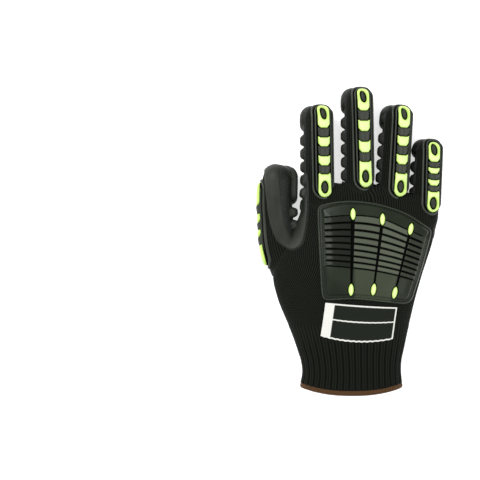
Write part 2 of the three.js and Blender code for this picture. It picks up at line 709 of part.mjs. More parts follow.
function place(name, body, finish) {
  const made = body.getMesh();
  const geometry = new THREE.BufferGeometry();
  const points = new Float32Array(made.numVert * 3);
  for (let i = 0; i < made.numVert; i++) {
    points.set(made.vertProperties.subarray(i * made.numProp, i * made.numProp + 3), 3 * i);
  }
  geometry.setAttribute("position", new THREE.BufferAttribute(points, 3));
  geometry.setIndex(new THREE.BufferAttribute(new Uint32Array(made.triVerts), 1));
  geometry.computeVertexNormals();
  const mesh = new THREE.Mesh(geometry, finish);
  mesh.name = name;
  glove.add(mesh);
}

place("knit_liner", liner, knitYarn);
place("cuff_hem", hem, hemYarn);
place("palm_coating", coating, padRubber);
place("knuckle_panel", panel, guardRubber);
ovalPlaces.forEach(({ name }, i) => place(name, ovals[i], brightRubber));
for (const [name, finger] of Object.entries(fingers)) {
  place(`${name}_guard`, fingerGuard(finger), guardRubber);
  for (const insert of guardLayouts[finger.layout]) {
    place(`${name}_insert_${insert.insert}`, fingerInsert(finger, insert), brightRubber);
  }
}
place("label_patch", label, labelInk);

// The origin goes under the middle of the glove, on the surface that it lies on.
const bounds = new THREE.Box3().setFromObject(glove);
const centre = bounds.getCenter(new THREE.Vector3());
glove.position.set(-centre.x, -centre.y, -bounds.min.z);

export default glove;
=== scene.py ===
# %% [markdown]
# # A knitted work glove with rubber guards
#
# The glove lies palm down on a pale table. It is a right-hand glove: a black knitted liner, a rubber
# coating with raised pads on the palm side, moulded strips along the fingers, a louvred panel over the
# knuckles, a woven patch on the cuff and a brown overlocked hem.
#
# The CAD part gives the shared frame. Each visible piece is built here again in finer detail and
# stands for its CAD nodes. Size and place follow the CAD part, give or take a few millimetres.

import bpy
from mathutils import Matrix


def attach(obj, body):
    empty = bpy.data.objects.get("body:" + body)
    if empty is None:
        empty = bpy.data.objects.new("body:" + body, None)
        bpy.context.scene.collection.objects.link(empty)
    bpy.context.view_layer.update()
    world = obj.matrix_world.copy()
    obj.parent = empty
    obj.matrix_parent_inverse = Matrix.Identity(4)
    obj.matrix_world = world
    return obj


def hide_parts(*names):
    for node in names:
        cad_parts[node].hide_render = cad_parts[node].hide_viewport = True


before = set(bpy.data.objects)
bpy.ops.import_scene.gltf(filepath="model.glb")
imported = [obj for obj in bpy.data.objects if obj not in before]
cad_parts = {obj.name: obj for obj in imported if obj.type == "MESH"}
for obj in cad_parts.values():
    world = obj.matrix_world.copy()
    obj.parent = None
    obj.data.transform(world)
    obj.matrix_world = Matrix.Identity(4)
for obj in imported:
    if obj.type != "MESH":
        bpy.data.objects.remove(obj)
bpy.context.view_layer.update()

# %%
import math

import bmesh
import bpy
import numpy as np
from mathutils import Vector

# %% [markdown]
# ## One set of sizes
#
# All shapes come from a few named sizes in millimetres. The measuring frame has X across the hand with
# the thumb at the negative side, Y from the hem to the fingertips and Z up through the back of the
# hand. `row_shift` moves it to the frame of the part, whose origin is under the glove's middle.

# %% Sizes in millimetres
hand_length = 172.0
hand_width = 112.0
hand_depth = 34.0
knuckle_slant = 14.0
mouth_wave = 7.0
knit_wall = 2.0
layer_gap = 0.3
coat_thickness = 1.0
pad_height = 4.4
pad_stack = layer_gap + coat_thickness + pad_height
rib_width = 9.4
rib_pitch = 10.9
thumb_rib_pitch = 11.5
rib_half_wrap = 72.0
row_shift = np.array([1.78254, -127.43822, 0.0])

# %% [markdown]
# ## The hand as a stack of sections
#
# The palm and cuff are one tube. Each row of the table is a section: how far from the hem it is, where
# its two sides are, how high its underside lies and how thick it is. Between the rows the values flow
# along a smooth cubic, because a knitted hand has no kinks.

# %% Sections of the hand
# along, thumb side, little side, sole height, depth: shares of length, width, width, pads, depth
section_rows = np.array(
    [
        [0.026, -0.37, 0.37, 0.16, 0.97],
        [0.08, -0.357, 0.362, 0.26, 0.955],
        [0.17, -0.37, 0.366, 0.4, 0.97],
        [0.26, -0.415, 0.395, 0.6, 1.0],
        [0.35, -0.473, 0.428, 0.8, 1.03],
        [0.465, -0.545, 0.47, 0.93, 1.05],
        [0.58, -0.58, 0.52, 0.93, 1.03],
        [0.69, -0.535, 0.567, 0.93, 0.97],
        [0.785, -0.43, 0.603, 0.93, 0.87],
        [0.87, -0.366, 0.616, 0.93, 0.75],
        [0.945, -0.348, 0.635, 1.0, 0.64],
        [1.0, -0.33, 0.64, 1.5, 0.45],
        [1.018, -0.318, 0.63, 2.05, 0.2],
    ]
)


def flowing(x, knots, values):
    """A smooth curve through the rows (knots, values), read at x."""
    x = np.asarray(x, float)
    slopes = np.gradient(values, knots, axis=0)
    i = np.clip(np.searchsorted(knots, x) - 1, 0, len(knots) - 2)
    span = knots[i + 1] - knots[i]
    t = np.clip((x - knots[i]) / span, 0, 1)
    if values.ndim > 1:
        span, t = span[..., None], t[..., None]
    return (
        (1 + 2 * t) * (1 - t) ** 2 * values[i]
        + t * (1 - t) ** 2 * span * slopes[i]
        + t**2 * (3 - 2 * t) * values[i + 1]
        + t**2 * (t - 1) * span * slopes[i + 1]
    )


def smoothstep(x, low, high):
    t = np.clip((x - low) / (high - low), 0, 1)
    return t * t * (3 - 2 * t)


def signed_power(value, power):
    return np.sign(value) * np.abs(value) ** power


def hand_section(distance):
    row = flowing(distance / hand_length, section_rows[:, 0], section_rows[:, 1:])
    scale = np.array([hand_width, hand_width, pad_stack, hand_depth])
    return np.moveaxis(row * scale, -1, 0)


def hand_drop(distance, x):
    """How far the webs drop towards the little finger."""
    ramp = np.maximum(0, distance / hand_length - 0.58) / 0.42
    return knuckle_slant * ramp * np.maximum(0, x / hand_width - 0.18) / 0.46


def hand_point(distance, angle, grow=0.0):
    """A point of the hand: angle 0 is the little-finger side and 90 degrees the back."""
    left, right, sole, depth = hand_section(distance)
    cosine, sine = np.cos(np.radians(angle)), np.sin(np.radians(angle))
    power = np.where(sine < 0, 2 / 3.2, 2 / 2.3)
    half = np.where(sine < 0, 0.45, 0.55) * depth + grow
    x = (left + right) / 2 + ((right - left) / 2 + grow) * signed_power(cosine, power)
    z = sole + 0.45 * depth + half * signed_power(sine, power)
    mouth = np.maximum(0, 1 - distance / hand_length / 0.2)
    y = distance - hand_drop(distance, x) + mouth_wave * mouth * cosine**2
    return np.stack(np.broadcast_arrays(x, y, z), -1)


def back_angle(distance, x, grow=0.0):
    """The angle at which the back of the hand passes x, at a height above the knit."""
    left, right, _, _ = hand_section(distance)
    share = np.clip((2 * x - left - right) / (right - left + 2 * grow), -1, 1)
    return np.degrees(np.arccos(np.clip(signed_power(share, 2.3 / 2), -1, 1)))


def hand_distance(x, y):
    """The distance from the hem of a point seen at (x, y)."""
    distance = y.copy()
    for _ in range(4):
        distance = y + hand_drop(distance, x)
    return distance


# %% [markdown]
# ## The fingers as tubes on centre lines
#
# A finger stall is a tube round a smooth centre line with a domed tip. The four fingers are straight
# and the thumb bends. `spot` gives the point at a distance along the finger, an angle round it and a
# height above the knit, and `coordinates` goes the other way. Guards and rubber pads use the same two
# functions, which keeps them seated on the finger.

# %% Finger stalls


class Finger:
    def __init__(self, name, path, width, depth, flare=0.0, **facts):
        self.name, self.flare = name, flare
        self.width, self.depth = width * hand_width, depth * hand_depth
        self.height = 0.87 * pad_stack + self.depth / 2
        self.facts = facts
        knots = np.array(path) * [hand_width, hand_length]
        self.trace(knots)
        self.dome = self.width / 2
        self.straight = self.length - self.dome

    def trace(self, knots):
        """Sample a centripetal curve through the knots by arc length."""
        ends = np.vstack([2 * knots[0] - knots[1], knots, 2 * knots[-1] - knots[-2]])
        pieces = []
        for p0, p1, p2, p3 in zip(ends[:-3], ends[1:-2], ends[2:-1], ends[3:]):
            d0, d1, d2 = (np.linalg.norm(b - a) ** 0.5 for a, b in ((p0, p1), (p1, p2), (p2, p3)))
            out = ((p1 - p0) / d0 - (p2 - p0) / (d0 + d1) + (p2 - p1) / d1) * d1
            into = ((p2 - p1) / d1 - (p3 - p1) / (d1 + d2) + (p3 - p2) / d2) * d1
            t = np.linspace(0, 1, 60, endpoint=False)[:, None]
            curve = (1 + 2 * t) * (1 - t) ** 2 * p1 + t * (1 - t) ** 2 * out
            pieces.append(curve + t**2 * (3 - 2 * t) * p2 + t**2 * (t - 1) * into)
        points = np.vstack(pieces + [knots[-1:]])
        steps = np.linalg.norm(np.diff(points, axis=0), axis=1)
        at = np.concatenate([[0], np.cumsum(steps)])
        self.length = at[-1]
        self.at = np.linspace(0, self.length, 240)
        self.line = np.stack([np.interp(self.at, at, points[:, k]) for k in (0, 1)], -1)
        ahead = np.gradient(self.line, self.at, axis=0)
        self.ahead = ahead / np.linalg.norm(ahead, axis=1, keepdims=True)

    def radii(self, along, height=0.0):
        flare = 1 + self.flare * np.maximum(0, 1 - 1.6 * along / self.length)
        root = np.minimum(1, 0.6 + 0.4 * along / 22)
        return self.width / 2 * flare * root + height, self.depth / 2 * root + height

    def spot(self, distance, angle, height=0.0):
        distance, angle, height = np.broadcast_arrays(
            *(np.asarray(v, float) for v in (distance, angle, height))
        )
        tilt = np.maximum(0, distance - self.straight) / self.dome
        along = np.minimum(distance, self.straight) + (self.dome + height) * np.sin(tilt)
        at = np.clip(along, 0, self.length)
        line = np.stack([np.interp(at, self.at, self.line[:, k]) for k in (0, 1)], -1)
        ahead = np.stack([np.interp(at, self.at, self.ahead[:, k]) for k in (0, 1)], -1)
        across = np.stack([ahead[..., 1], -ahead[..., 0]], -1)
        wide, deep = (r * np.cos(tilt) for r in self.radii(along, height))
        flat = line + ahead * (along - at)[..., None]
        flat = flat + across * (wide * np.cos(np.radians(angle)))[..., None]
        z = self.height + deep * np.sin(np.radians(angle))
        return np.concatenate([flat, z[..., None]], -1)

    def coordinates(self, points):
        """Distance, angle and height above the knit of some points."""
        nearest = np.empty(len(points), int)
        for start in range(0, len(points), 20000):
            gap = points[start : start + 20000, None, :2] - self.line[None]
            nearest[start : start + 20000] = (gap**2).sum(-1).argmin(1)
        gap = points[:, :2] - self.line[nearest]
        ahead = self.ahead[nearest]
        along = self.at[nearest] + (gap * ahead).sum(1)
        side = gap[:, 0] * ahead[:, 1] - gap[:, 1] * ahead[:, 0]
        up = points[:, 2] - self.height
        wide, deep = self.radii(along)
        angle = np.degrees(np.arctan2(up / deep, side / wide))
        tilt = np.arcsin(np.clip((along - self.straight) / self.dome, 0, 1))
        reach = np.hypot(side / wide, up / deep)
        over = np.maximum(0, along - self.straight) / self.dome
        height = (np.hypot(reach, over) - 1) * (wide + deep) / 2
        return np.minimum(along, self.straight) + self.dome * tilt, angle, height


# start and end of the four inserts from the wrist to the tip, as shares of the strip
index_layout = ((0.024, 0.277), (0.346, 0.459), (0.539, 0.65), (0.728, 0.946))
middle_layout = ((0.035, 0.289), (0.36, 0.477), (0.557, 0.672), (0.748, 0.944))
ring_layout = ((0.035, 0.286), (0.362, 0.475), (0.55, 0.665), (0.735, 0.945))
little_layout = ((0.043, 0.32), (0.376, 0.47), (0.527, 0.621), (0.675, 0.907))
thumb_layout = ((0.0475, 0.2715), (0.3466, 0.438), (0.5045, 0.614), (0.692, 0.957))
thumb_path = [[-0.3, 0.453], [-0.43, 0.581], [-0.515, 0.709], [-0.552, 0.872], [-0.55, 1.106]]
fingers = [
    Finger("index", [[-0.235, 0.81], [-0.244, 1.397]], 0.201, 0.588, layout=index_layout,
           ribs=5, tip_pad=0.134, pad_turn=-16, guard_turn=-17, guard_from=0.131, guard_end=0.02, sway=3),
    Finger("middle", [[0.061, 0.81], [0.057, 1.482]], 0.195, 0.603, layout=middle_layout,
           ribs=6, tip_pad=0.134, pad_turn=-16, guard_turn=-17, guard_from=0.172, guard_end=0.02, sway=10),
    Finger("ring", [[0.29, 0.785], [0.352, 1.397]], 0.195, 0.588, layout=ring_layout,
           ribs=6, tip_pad=0.128, pad_turn=-16, guard_turn=-21, guard_from=0.157, guard_end=0.02, sway=5),
    Finger("little", [[0.537, 0.727], [0.582, 1.232]], 0.183, 0.529, layout=little_layout,
           ribs=4, tip_pad=0.099, pad_turn=-16, guard_turn=-20, guard_from=0.14, guard_end=0.018, sway=12),
    Finger("thumb", thumb_path, 0.214, 0.676, flare=0.5, layout=thumb_layout,
           ribs=3, tip_pad=0.192, pad_turn=40, guard_turn=88, guard_from=0.223, guard_end=0.107, sway=0),
]
print("finger lengths, mm", {f.name: round(f.length, 1) for f in fingers})

# %% [markdown]
# ## From arrays to meshes
#
# Points are worked out as arrays in millimetres. One function turns a grid of them into a mesh, and
# another finishes a piece: it sets its material, shading and the body that it rides on.

# %% Mesh helpers


def make_object(name, points, faces):
    mesh = bpy.data.meshes.new(name)
    verts = (np.asarray(points).reshape(-1, 3) + row_shift) / 1000
    mesh.from_pydata(verts.tolist(), [], [tuple(map(int, f)) for f in faces])
    mesh.update()
    thing = bpy.data.objects.new(name, mesh)
    bpy.context.scene.collection.objects.link(thing)
    return thing


def grid_faces(rows, columns, ring=False, start=0):
    """Quads of a grid of points, closed into a tube when ring is set."""
    across = columns if ring else columns - 1
    r, c = np.meshgrid(np.arange(rows - 1), np.arange(across), indexing="ij")
    a, b = r * columns + c, r * columns + (c + 1) % columns
    return (np.stack([a, b, b + columns, a + columns], -1) + start).reshape(-1, 4)


def grid_object(name, points, ring=False, caps=False):
    rows, columns = points.shape[:2]
    faces = grid_faces(rows, columns, ring).tolist()
    if caps:
        faces.append(list(range(columns))[::-1])
        faces.append(list(range((rows - 1) * columns, rows * columns)))
    return make_object(name, points, faces)


def mesh_points(thing):
    """The vertices of a mesh in the measuring frame, in millimetres."""
    flat = np.empty(3 * len(thing.data.vertices))
    thing.data.vertices.foreach_get("co", flat)
    return flat.reshape(-1, 3) * 1000 - row_shift


def set_points(thing, points):
    thing.data.vertices.foreach_set("co", ((points + row_shift) / 1000).ravel())
    thing.data.update()


def mesh_normals(thing):
    flat = np.empty(3 * len(thing.data.vertices))
    thing.data.vertices.foreach_get("normal", flat)
    return flat.reshape(-1, 3)


def note(thing, name, values):
    """Keep one number per vertex for the shaders."""
    layer = thing.data.attributes.new(name, "FLOAT", "POINT")
    layer.data.foreach_set("value", np.ascontiguousarray(values, np.float32).ravel())


def keep_only(thing, keep):
    """Drop the vertices where keep is false, and the faces that use them."""
    work = bmesh.new()
    work.from_mesh(thing.data)
    work.verts.ensure_lookup_table()
    gone = [work.verts[i] for i in np.flatnonzero(~keep)]
    bmesh.ops.delete(work, geom=gone, context="VERTS")
    work.to_mesh(thing.data)
    work.free()
    thing.data.update()


def apply_modifiers(thing):
    graph = bpy.context.evaluated_depsgraph_get()
    made = bpy.data.meshes.new_from_object(thing.evaluated_get(graph))
    thing.modifiers.clear()
    thing.data = made


def join(name, things):
    with bpy.context.temp_override(
        active_object=things[0], selected_editable_objects=things, selected_objects=things
    ):
        bpy.ops.object.join()
    things[0].name = name
    return things[0]


def finish_piece(thing, material, *nodes, slot=None):
    thing.data.materials.clear()
    thing.data.materials.append(material)
    thing.data.polygons.foreach_set("use_smooth", [True] * len(thing.data.polygons))
    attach(thing, "root")
    if nodes:
        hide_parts(*nodes)
    triangles = sum(len(p.vertices) - 2 for p in thing.data.polygons)
    print(f"{thing.name}: {triangles} triangles")
    return thing


# %% [markdown]
# ## Shader maths as plain expressions
#
# A small class wraps a node socket and overloads the operators, so that a pattern reads like a
# formula. `node` adds any other node from its type, its settings and what goes into its sockets.

# %% Shader helpers


class Socket:
    def __init__(self, shader, socket):
        self.shader, self.socket = shader, socket

    def math(self, operation, *others):
        values = dict(enumerate((self, *others)))
        return self.shader.node("ShaderNodeMath", {"operation": operation}, values)

    def __add__(self, other):
        return self.math("ADD", other)

    def __sub__(self, other):
        return self.math("SUBTRACT", other)

    def __rsub__(self, other):
        return (self * -1) + other

    def __mul__(self, other):
        return self.math("MULTIPLY", other)

    def __truediv__(self, other):
        return self.math("DIVIDE", other)

    def __abs__(self):
        return self.math("ABSOLUTE")

    def fraction(self):
        return self.math("FRACT")

    def cosine(self):
        return self.math("COSINE")

    def above(self, low, high):
        """0 below low, 1 above high, smooth between."""
        return self.shader.node(
            "ShaderNodeMapRange", {"interpolation_type": "SMOOTHSTEP"},
            {"Value": self, "From Min": low, "From Max": high},
        )

    def mix(self, zero, one):
        """A colour between two others, by this share."""
        return self.shader.node(
            "ShaderNodeMix", {"data_type": "RGBA"}, {"Factor": self, 6: zero, 7: one}, out=2
        )


class Shader:
    def __init__(self, name, **constants):
        self.material = bpy.data.materials.new(name)
        self.material.use_nodes = True
        self.tree = self.material.node_tree
        self.surface = self.tree.nodes["Principled BSDF"]
        for key, value in constants.items():
            self.surface.inputs[key.replace("_", " ")].default_value = value

    def node(self, kind, settings=None, sockets=None, out=0):
        made = self.tree.nodes.new(kind)
        for key, value in (settings or {}).items():
            setattr(made, key, value)
        for key, value in (sockets or {}).items():
            if isinstance(value, Socket):
                self.tree.links.new(value.socket, made.inputs[key])
            else:
                made.inputs[key].default_value = value
        return Socket(self, made.outputs[out])

    def vertex(self, name):
        return self.node("ShaderNodeAttribute", {"attribute_name": name}, out=2)

    def place(self):
        """Object coordinates, in metres."""
        return self.node("ShaderNodeTexCoord", out=3)

    def noise(self, scale, detail=2.0):
        sockets = {"Vector": self.place(), "Scale": scale, "Detail": detail}
        return self.node("ShaderNodeTexNoise", {}, sockets)

    def set(self, name, value):
        self.tree.links.new(value.socket, self.surface.inputs[name])

    def blacken(self, mask):
        """Let a dull black take over where the mask is 1, as in grooves that light doesn't reach."""
        black = (0.0015, 0.0015, 0.0015, 1.0)
        finish = {"Base Color": black, "Roughness": 0.9, "Specular IOR Level": 0.05}
        dull = self.node("ShaderNodeBsdfPrincipled", {}, finish)
        both = {0: mask, 1: Socket(self, self.surface.outputs[0]), 2: dull}
        mixed = self.node("ShaderNodeMixShader", {}, both)
        self.tree.links.new(mixed.socket, self.tree.nodes["Material Output"].inputs["Surface"])

    def bump(self, height, distance, strength):
        sockets = {"Height": height, "Distance": distance, "Strength": strength}
        self.set("Normal", self.node("ShaderNodeBump", {}, sockets))


def colour(red, green, blue):
    """A display colour from 0 to 255, as the linear values that a shader takes."""
    value = np.array([red, green, blue]) / 255
    linear = np.where(value <= 0.04045, value / 12.92, ((value + 0.055) / 1.055) ** 2.4)
    return (*linear.tolist(), 1.0)


# %% [markdown]
# ## Materials
#
# The knit is a plain weft knit: columns of small V stitches, drawn from two measured coordinates, one
# round the tube and one along it, and painted much darker in the hollows between the stitches as painted
# shade. Its fibres scatter light at grazing angles, so it gets some sheen.
# The rubber is a satin moulded compound with fine grain, and the coating between its pads is sprayed
# with a coarser speckle. The bright inserts are the same compound, dyed.

# %% Knit
stitch_width = 1.9
stitch_height = 1.4


def knit_material(name, base):
    shader = Shader(
        name, Roughness=0.95, Specular_IOR_Level=0.1, Sheen_Weight=0.03, Sheen_Roughness=0.4
    )
    wale = shader.vertex("wale") / stitch_width
    course = shader.vertex("course") / stitch_height
    side = abs(wale.fraction() - 0.5)
    ridge = (side * (2 * math.pi)).cosine() * 0.5 + 0.5
    vee = (course + side * 1.3).fraction()
    loop = (abs(vee - 0.5) * (2 * math.pi)).cosine() * -0.5 + 0.5
    calm = shader.vertex("calm").above(0.5, 1.0)
    height = (ridge * 0.6 + loop * 0.35) * calm + shader.noise(2500.0, 2.0) * 0.15
    shader.bump(height, 0.00035, 0.9)
    # Painted shade: the hollows between the stitches, and the valleys between the cuff's ribs, take this
    # much darker copy of the knit colour.
    dark = tuple(c * 0.12 for c in base[:3]) + (1.0,)
    raised = (ridge * (loop * 0.5 + 0.5)).above(0.2, 0.95) * calm + (calm * -0.36 + 0.36)
    raised = raised * (shader.vertex("rib").above(0.45, 0.95) * 0.9 + 0.1)
    shader.set("Base Color", raised.mix(dark, base))
    return shader.material


knit = knit_material("black knit", colour(33, 37, 29))
hem_shader = Shader(
    "brown overlock thread", Roughness=0.85, Specular_IOR_Level=0.15, Sheen_Weight=0.1
)
strand = hem_shader.vertex("strand")
# Painted shade: the hollows between the wraps are a nearly black brown.
hem_shader.set("Base Color", strand.above(0.55, 0.98).mix(colour(12, 8, 4), colour(112, 78, 44)))
hem_shader.bump(hem_shader.noise(3000.0) + strand * 0.5, 0.0002, 0.8)
hem_thread = hem_shader.material

# %% Rubber


def rubber_shader(name, roughness):
    """A rubber with fine grain, and slow patches from 0 to 1 for its colour."""
    shader = Shader(name, Specular_IOR_Level=0.25)
    slow = shader.noise(55.0, 3.0)
    shader.set("Roughness", slow * 0.12 + (roughness - 0.06))
    shader.bump(shader.noise(1800.0) + slow * 0.6, 0.00004, 0.6)
    return shader, slow.above(0.35, 0.75)


guard_shader, patches = rubber_shader("dark guard rubber", 0.4)
shade = guard_shader.vertex("shade")
body = patches.mix(colour(46, 51, 43), colour(56, 61, 52))
guard_shader.set("Base Color", (shade * -1).above(0.0, 1.0).mix(body, colour(45, 50, 41)))
guard_shader.blacken(shade.above(0.15, 0.85))
guard_rubber = guard_shader.material

button_shader, patches = rubber_shader("dark button rubber", 0.4)
button_shader.set("Base Color", patches.mix(colour(36, 41, 32), colour(44, 50, 40)))
button_rubber = button_shader.material

bright_shader, _ = rubber_shader("bright rubber", 0.5)
core = bright_shader.vertex("core")
bright_shader.set("Base Color", core.above(0.2, 1.6).mix(colour(188, 222, 110), colour(209, 231, 154)))
# Painted shade: the walls of the inserts and of their windows are a dull black.
bright_shader.blacken((core * -1).above(0.2, 0.9))
bright_rubber = bright_shader.material

# %% [markdown]
# The coating shows three finishes: pads, a dark speckled film between them, and a smooth band
# that comes round to the back between thumb and index finger. Pads that face up or sideways are painted
# darker, as painted shade, and the film carries small pale flecks as painted glints.

# %% Coating finish
coat_shader = Shader("padded coating rubber", Specular_IOR_Level=0.25)
pad_share = coat_shader.vertex("pad")
plain_share = coat_shader.vertex("plain")
speckle = coat_shader.node(
    "ShaderNodeTexVoronoi", {"feature": "DISTANCE_TO_EDGE"},
    {"Vector": coat_shader.place(), "Scale": 900.0},
)
# Painted glints: small pale flecks on the dark film between the pads.
glint_flecks = coat_shader.noise(1400.0, 1.0).above(0.62, 0.7)
mottle = coat_shader.noise(70.0, 3.0)
gap_colour = (glint_flecks * 0.4).mix(colour(11, 14, 9), colour(80, 86, 75))
unshaded_pad_colour = mottle.above(0.35, 0.7).mix(colour(50, 56, 47), colour(62, 69, 58))
# Painted shade: pads that face up or sideways take a darker colour than those that face the table.
pad_colour = coat_shader.vertex("facing_down").mix(colour(30, 34, 27), unshaded_pad_colour)
smooth_colour = mottle.above(0.35, 0.7).mix(colour(27, 31, 24), colour(38, 43, 34))
over = pad_share.above(0.12, 0.5).mix(gap_colour, pad_colour)
coat_shader.set("Base Color", plain_share.above(0.3, 0.7).mix(over, smooth_colour))
coat_shader.set("Roughness", mottle * 0.2 + 0.42)
grain = speckle.above(0.0, 0.25) * 0.5 + coat_shader.noise(2200.0) * 0.5
coat_shader.bump(grain * (plain_share * -0.7 + 1.0), 0.00012, 0.7)
coat_rubber = coat_shader.material

# %% [markdown]
# ## The knitted liner
#
# The liner is a seamless knitted glove with a wall of about two millimetres. The hand and the five
# stalls are lofted as closed tubes and fused by a voxel remesh, which also rounds the webs between the
# fingers as stretched knit does. The wall is then added inwards and the wrist end cut open, because
# the hollow is what the wearer's hand goes into.

# %% Fused hand


def fused_hand(name, voxel, rounds):
    stations = np.linspace(section_rows[0, 0], section_rows[-1, 0], 110) * hand_length
    around = np.linspace(0, 360, 160, endpoint=False)
    tubes = [grid_object(name, hand_point(stations[:, None], around[None]), ring=True, caps=True)]
    for finger in fingers:
        end = finger.straight + finger.dome * math.radians(88)
        steps = np.concatenate(
            [np.linspace(0, finger.straight, 60), np.linspace(finger.straight, end, 12)[1:]]
        )
        ring = np.linspace(0, 360, 64, endpoint=False)
        tube = finger.spot(steps[:, None], ring[None])
        tubes.append(grid_object(finger.name, tube, ring=True, caps=True))
    whole = join(name, tubes)
    remesh = whole.modifiers.new("fuse", "REMESH")
    remesh.mode = "VOXEL"
    remesh.voxel_size = voxel / 1000
    remesh.adaptivity = 0.0
    relax = whole.modifiers.new("relax", "SMOOTH")
    relax.factor = 0.5
    relax.iterations = rounds
    apply_modifiers(whole)
    return whole


liner = fused_hand("knit_hand", 1.5, 4)
print("liner vertices", len(liner.data.vertices))

# %% [markdown]
# The stitches need to know where they are: `wale` counts millimetres round the hand or finger and
# `course` millimetres along it. Each vertex belongs to the finger that it lies on, or to the hand. Where
# the numbering of two neighbours jumps, `calm` is 0 and the pattern fades out instead of smearing.

# %% Stitch coordinates


def finger_of(points, slack=0.9):
    """For each point the number of the finger that it lies on, or -1 for the hand."""
    owner = np.full(len(points), -1)
    places = {}
    for number, finger in enumerate(fingers):
        distance, angle, height = finger.coordinates(points)
        on = (np.abs(height) < slack) & (distance > 6)
        owner[on] = number
        places[number] = (distance, angle)
    return owner, places


def stitch_coordinates(thing):
    points = mesh_points(thing)
    distance = hand_distance(points[:, 0], points[:, 1])
    left, right, sole, depth = hand_section(distance)
    x = (2 * points[:, 0] - left - right) / (right - left)
    z = (points[:, 2] - sole - 0.45 * depth) / (depth / 2)
    turn = np.arctan2(signed_power(z, 1.3), signed_power(x, 1.3))
    table = hand_point(np.linspace(5, 170, 40)[:, None], np.linspace(-180, 180, 181)[None])
    steps = np.linalg.norm(np.diff(table, axis=1), axis=2)
    run = np.concatenate([np.zeros((40, 1)), np.cumsum(steps, axis=1)], axis=1)
    row = np.clip((distance - 5) / 165 * 39, 0, 38.999)
    column = np.clip((np.degrees(turn) + 180) / 2, 0, 179.999)
    r, c = row.astype(int), column.astype(int)
    u, v = row - r, column - c
    wale = (1 - u) * ((1 - v) * run[r, c] + v * run[r, c + 1]) + u * (
        (1 - v) * run[r + 1, c] + v * run[r + 1, c + 1]
    )
    course = distance.copy()
    owner, places = finger_of(points)
    for number, (along, angle) in places.items():
        on = owner == number
        wale[on] = np.radians(angle[on]) * fingers[number].width / 2
        course[on] = along[on]
    note(thing, "wale", wale)
    note(thing, "course", course)
    ends = np.empty(2 * len(thing.data.edges), int)
    thing.data.edges.foreach_get("vertices", ends)
    ends = ends.reshape(-1, 2)
    jumps = [np.abs(np.diff(values[ends], axis=1))[:, 0] for values in (wale, course)]
    jump = np.maximum(*jumps)
    calm = np.ones(len(points))
    calm[ends[jump > 3.5].ravel()] = 0
    note(thing, "calm", calm)


wall = liner.modifiers.new("wall", "SOLIDIFY")
wall.thickness = knit_wall / 1000
wall.offset = -1
keep_only(liner, mesh_points(liner)[:, 1] > 54)
apply_modifiers(liner)
stitch_coordinates(liner)
note(liner, "rib", np.ones(len(liner.data.vertices)))
finish_piece(liner, knit, "knit_liner", slot="knit_yarn")

# %% [markdown]
# ## The ribbed cuff
#
# The cuff is knitted in a rib that pulls the wrist in: raised columns with narrow valleys, running
# from the hem to the hand. It is one sheet of points that goes down the inside to the mouth and back
# along the outside. Equal shares of the girth give equal ribs, and they fade into the plain knit.

# %% Cuff
rib_count = 40
cuff_end = 63.0
mouth = section_rows[0, 0] * hand_length


def even_angles(distance, count):
    """Angles that divide the hand's girth at this distance into equal steps."""
    fine = np.linspace(0, 360, 1441)
    round_hand = hand_point(np.full_like(fine, distance), fine)
    steps = np.linalg.norm(np.diff(round_hand, axis=0), axis=1)
    run = np.concatenate([[0], np.cumsum(steps)])
    return np.interp(np.linspace(0, run[-1], count, endpoint=False), run, fine)


cuff_columns = rib_count * 10
phase = np.arange(cuff_columns) / cuff_columns * rib_count
rib_shape = np.abs(np.cos(np.pi * phase)) ** 0.6
cuff_rows, courses, ribs = [], [], []
outward = [(d, True) for d in np.linspace(mouth, cuff_end, 64)]
inward = [(d, False) for d in np.linspace(cuff_end, mouth, 14)]
for distance, outside in inward + outward:
    angles = even_angles(distance, cuff_columns)
    fade = float(1 - smoothstep(distance, 34, 58))
    sink = float(smoothstep(distance, 56, cuff_end))
    if outside:
        grow = 0.35 * fade + 0.9 * fade * (rib_shape - 0.75) + 0.25 - 0.75 * sink
    else:
        grow = np.full(cuff_columns, -knit_wall - 0.25 + 0.75 * sink)
    cuff_rows.append(hand_point(np.full(cuff_columns, distance), angles, grow))
    ribs.append(1 + fade * (rib_shape - 1))
    courses.append(np.full(cuff_columns, distance))
cuff = grid_object("knit_cuff", np.array(cuff_rows), ring=True)
note(cuff, "wale", np.tile(phase * 2 * stitch_width, len(cuff_rows)))
# The rib number tells the knit shader where to paint shade into the valleys between the ribs.
note(cuff, "rib", np.array(ribs))
note(cuff, "course", np.array(courses))
note(cuff, "calm", np.full(len(cuff.data.vertices), 0.8))
finish_piece(cuff, knit, "knit_liner", slot="knit_yarn")

# %% [markdown]
# ## The overlocked hem
#
# The wrist end is closed with brown overlock stitching: thread wrapped over the edge again and again.
# The band is a rounded tube round the mouth, and the wraps are slanted ripples on it, with a number
# per vertex that tells thread from the hollow between two threads. The hollows are painted a nearly
# black brown, as painted shade.

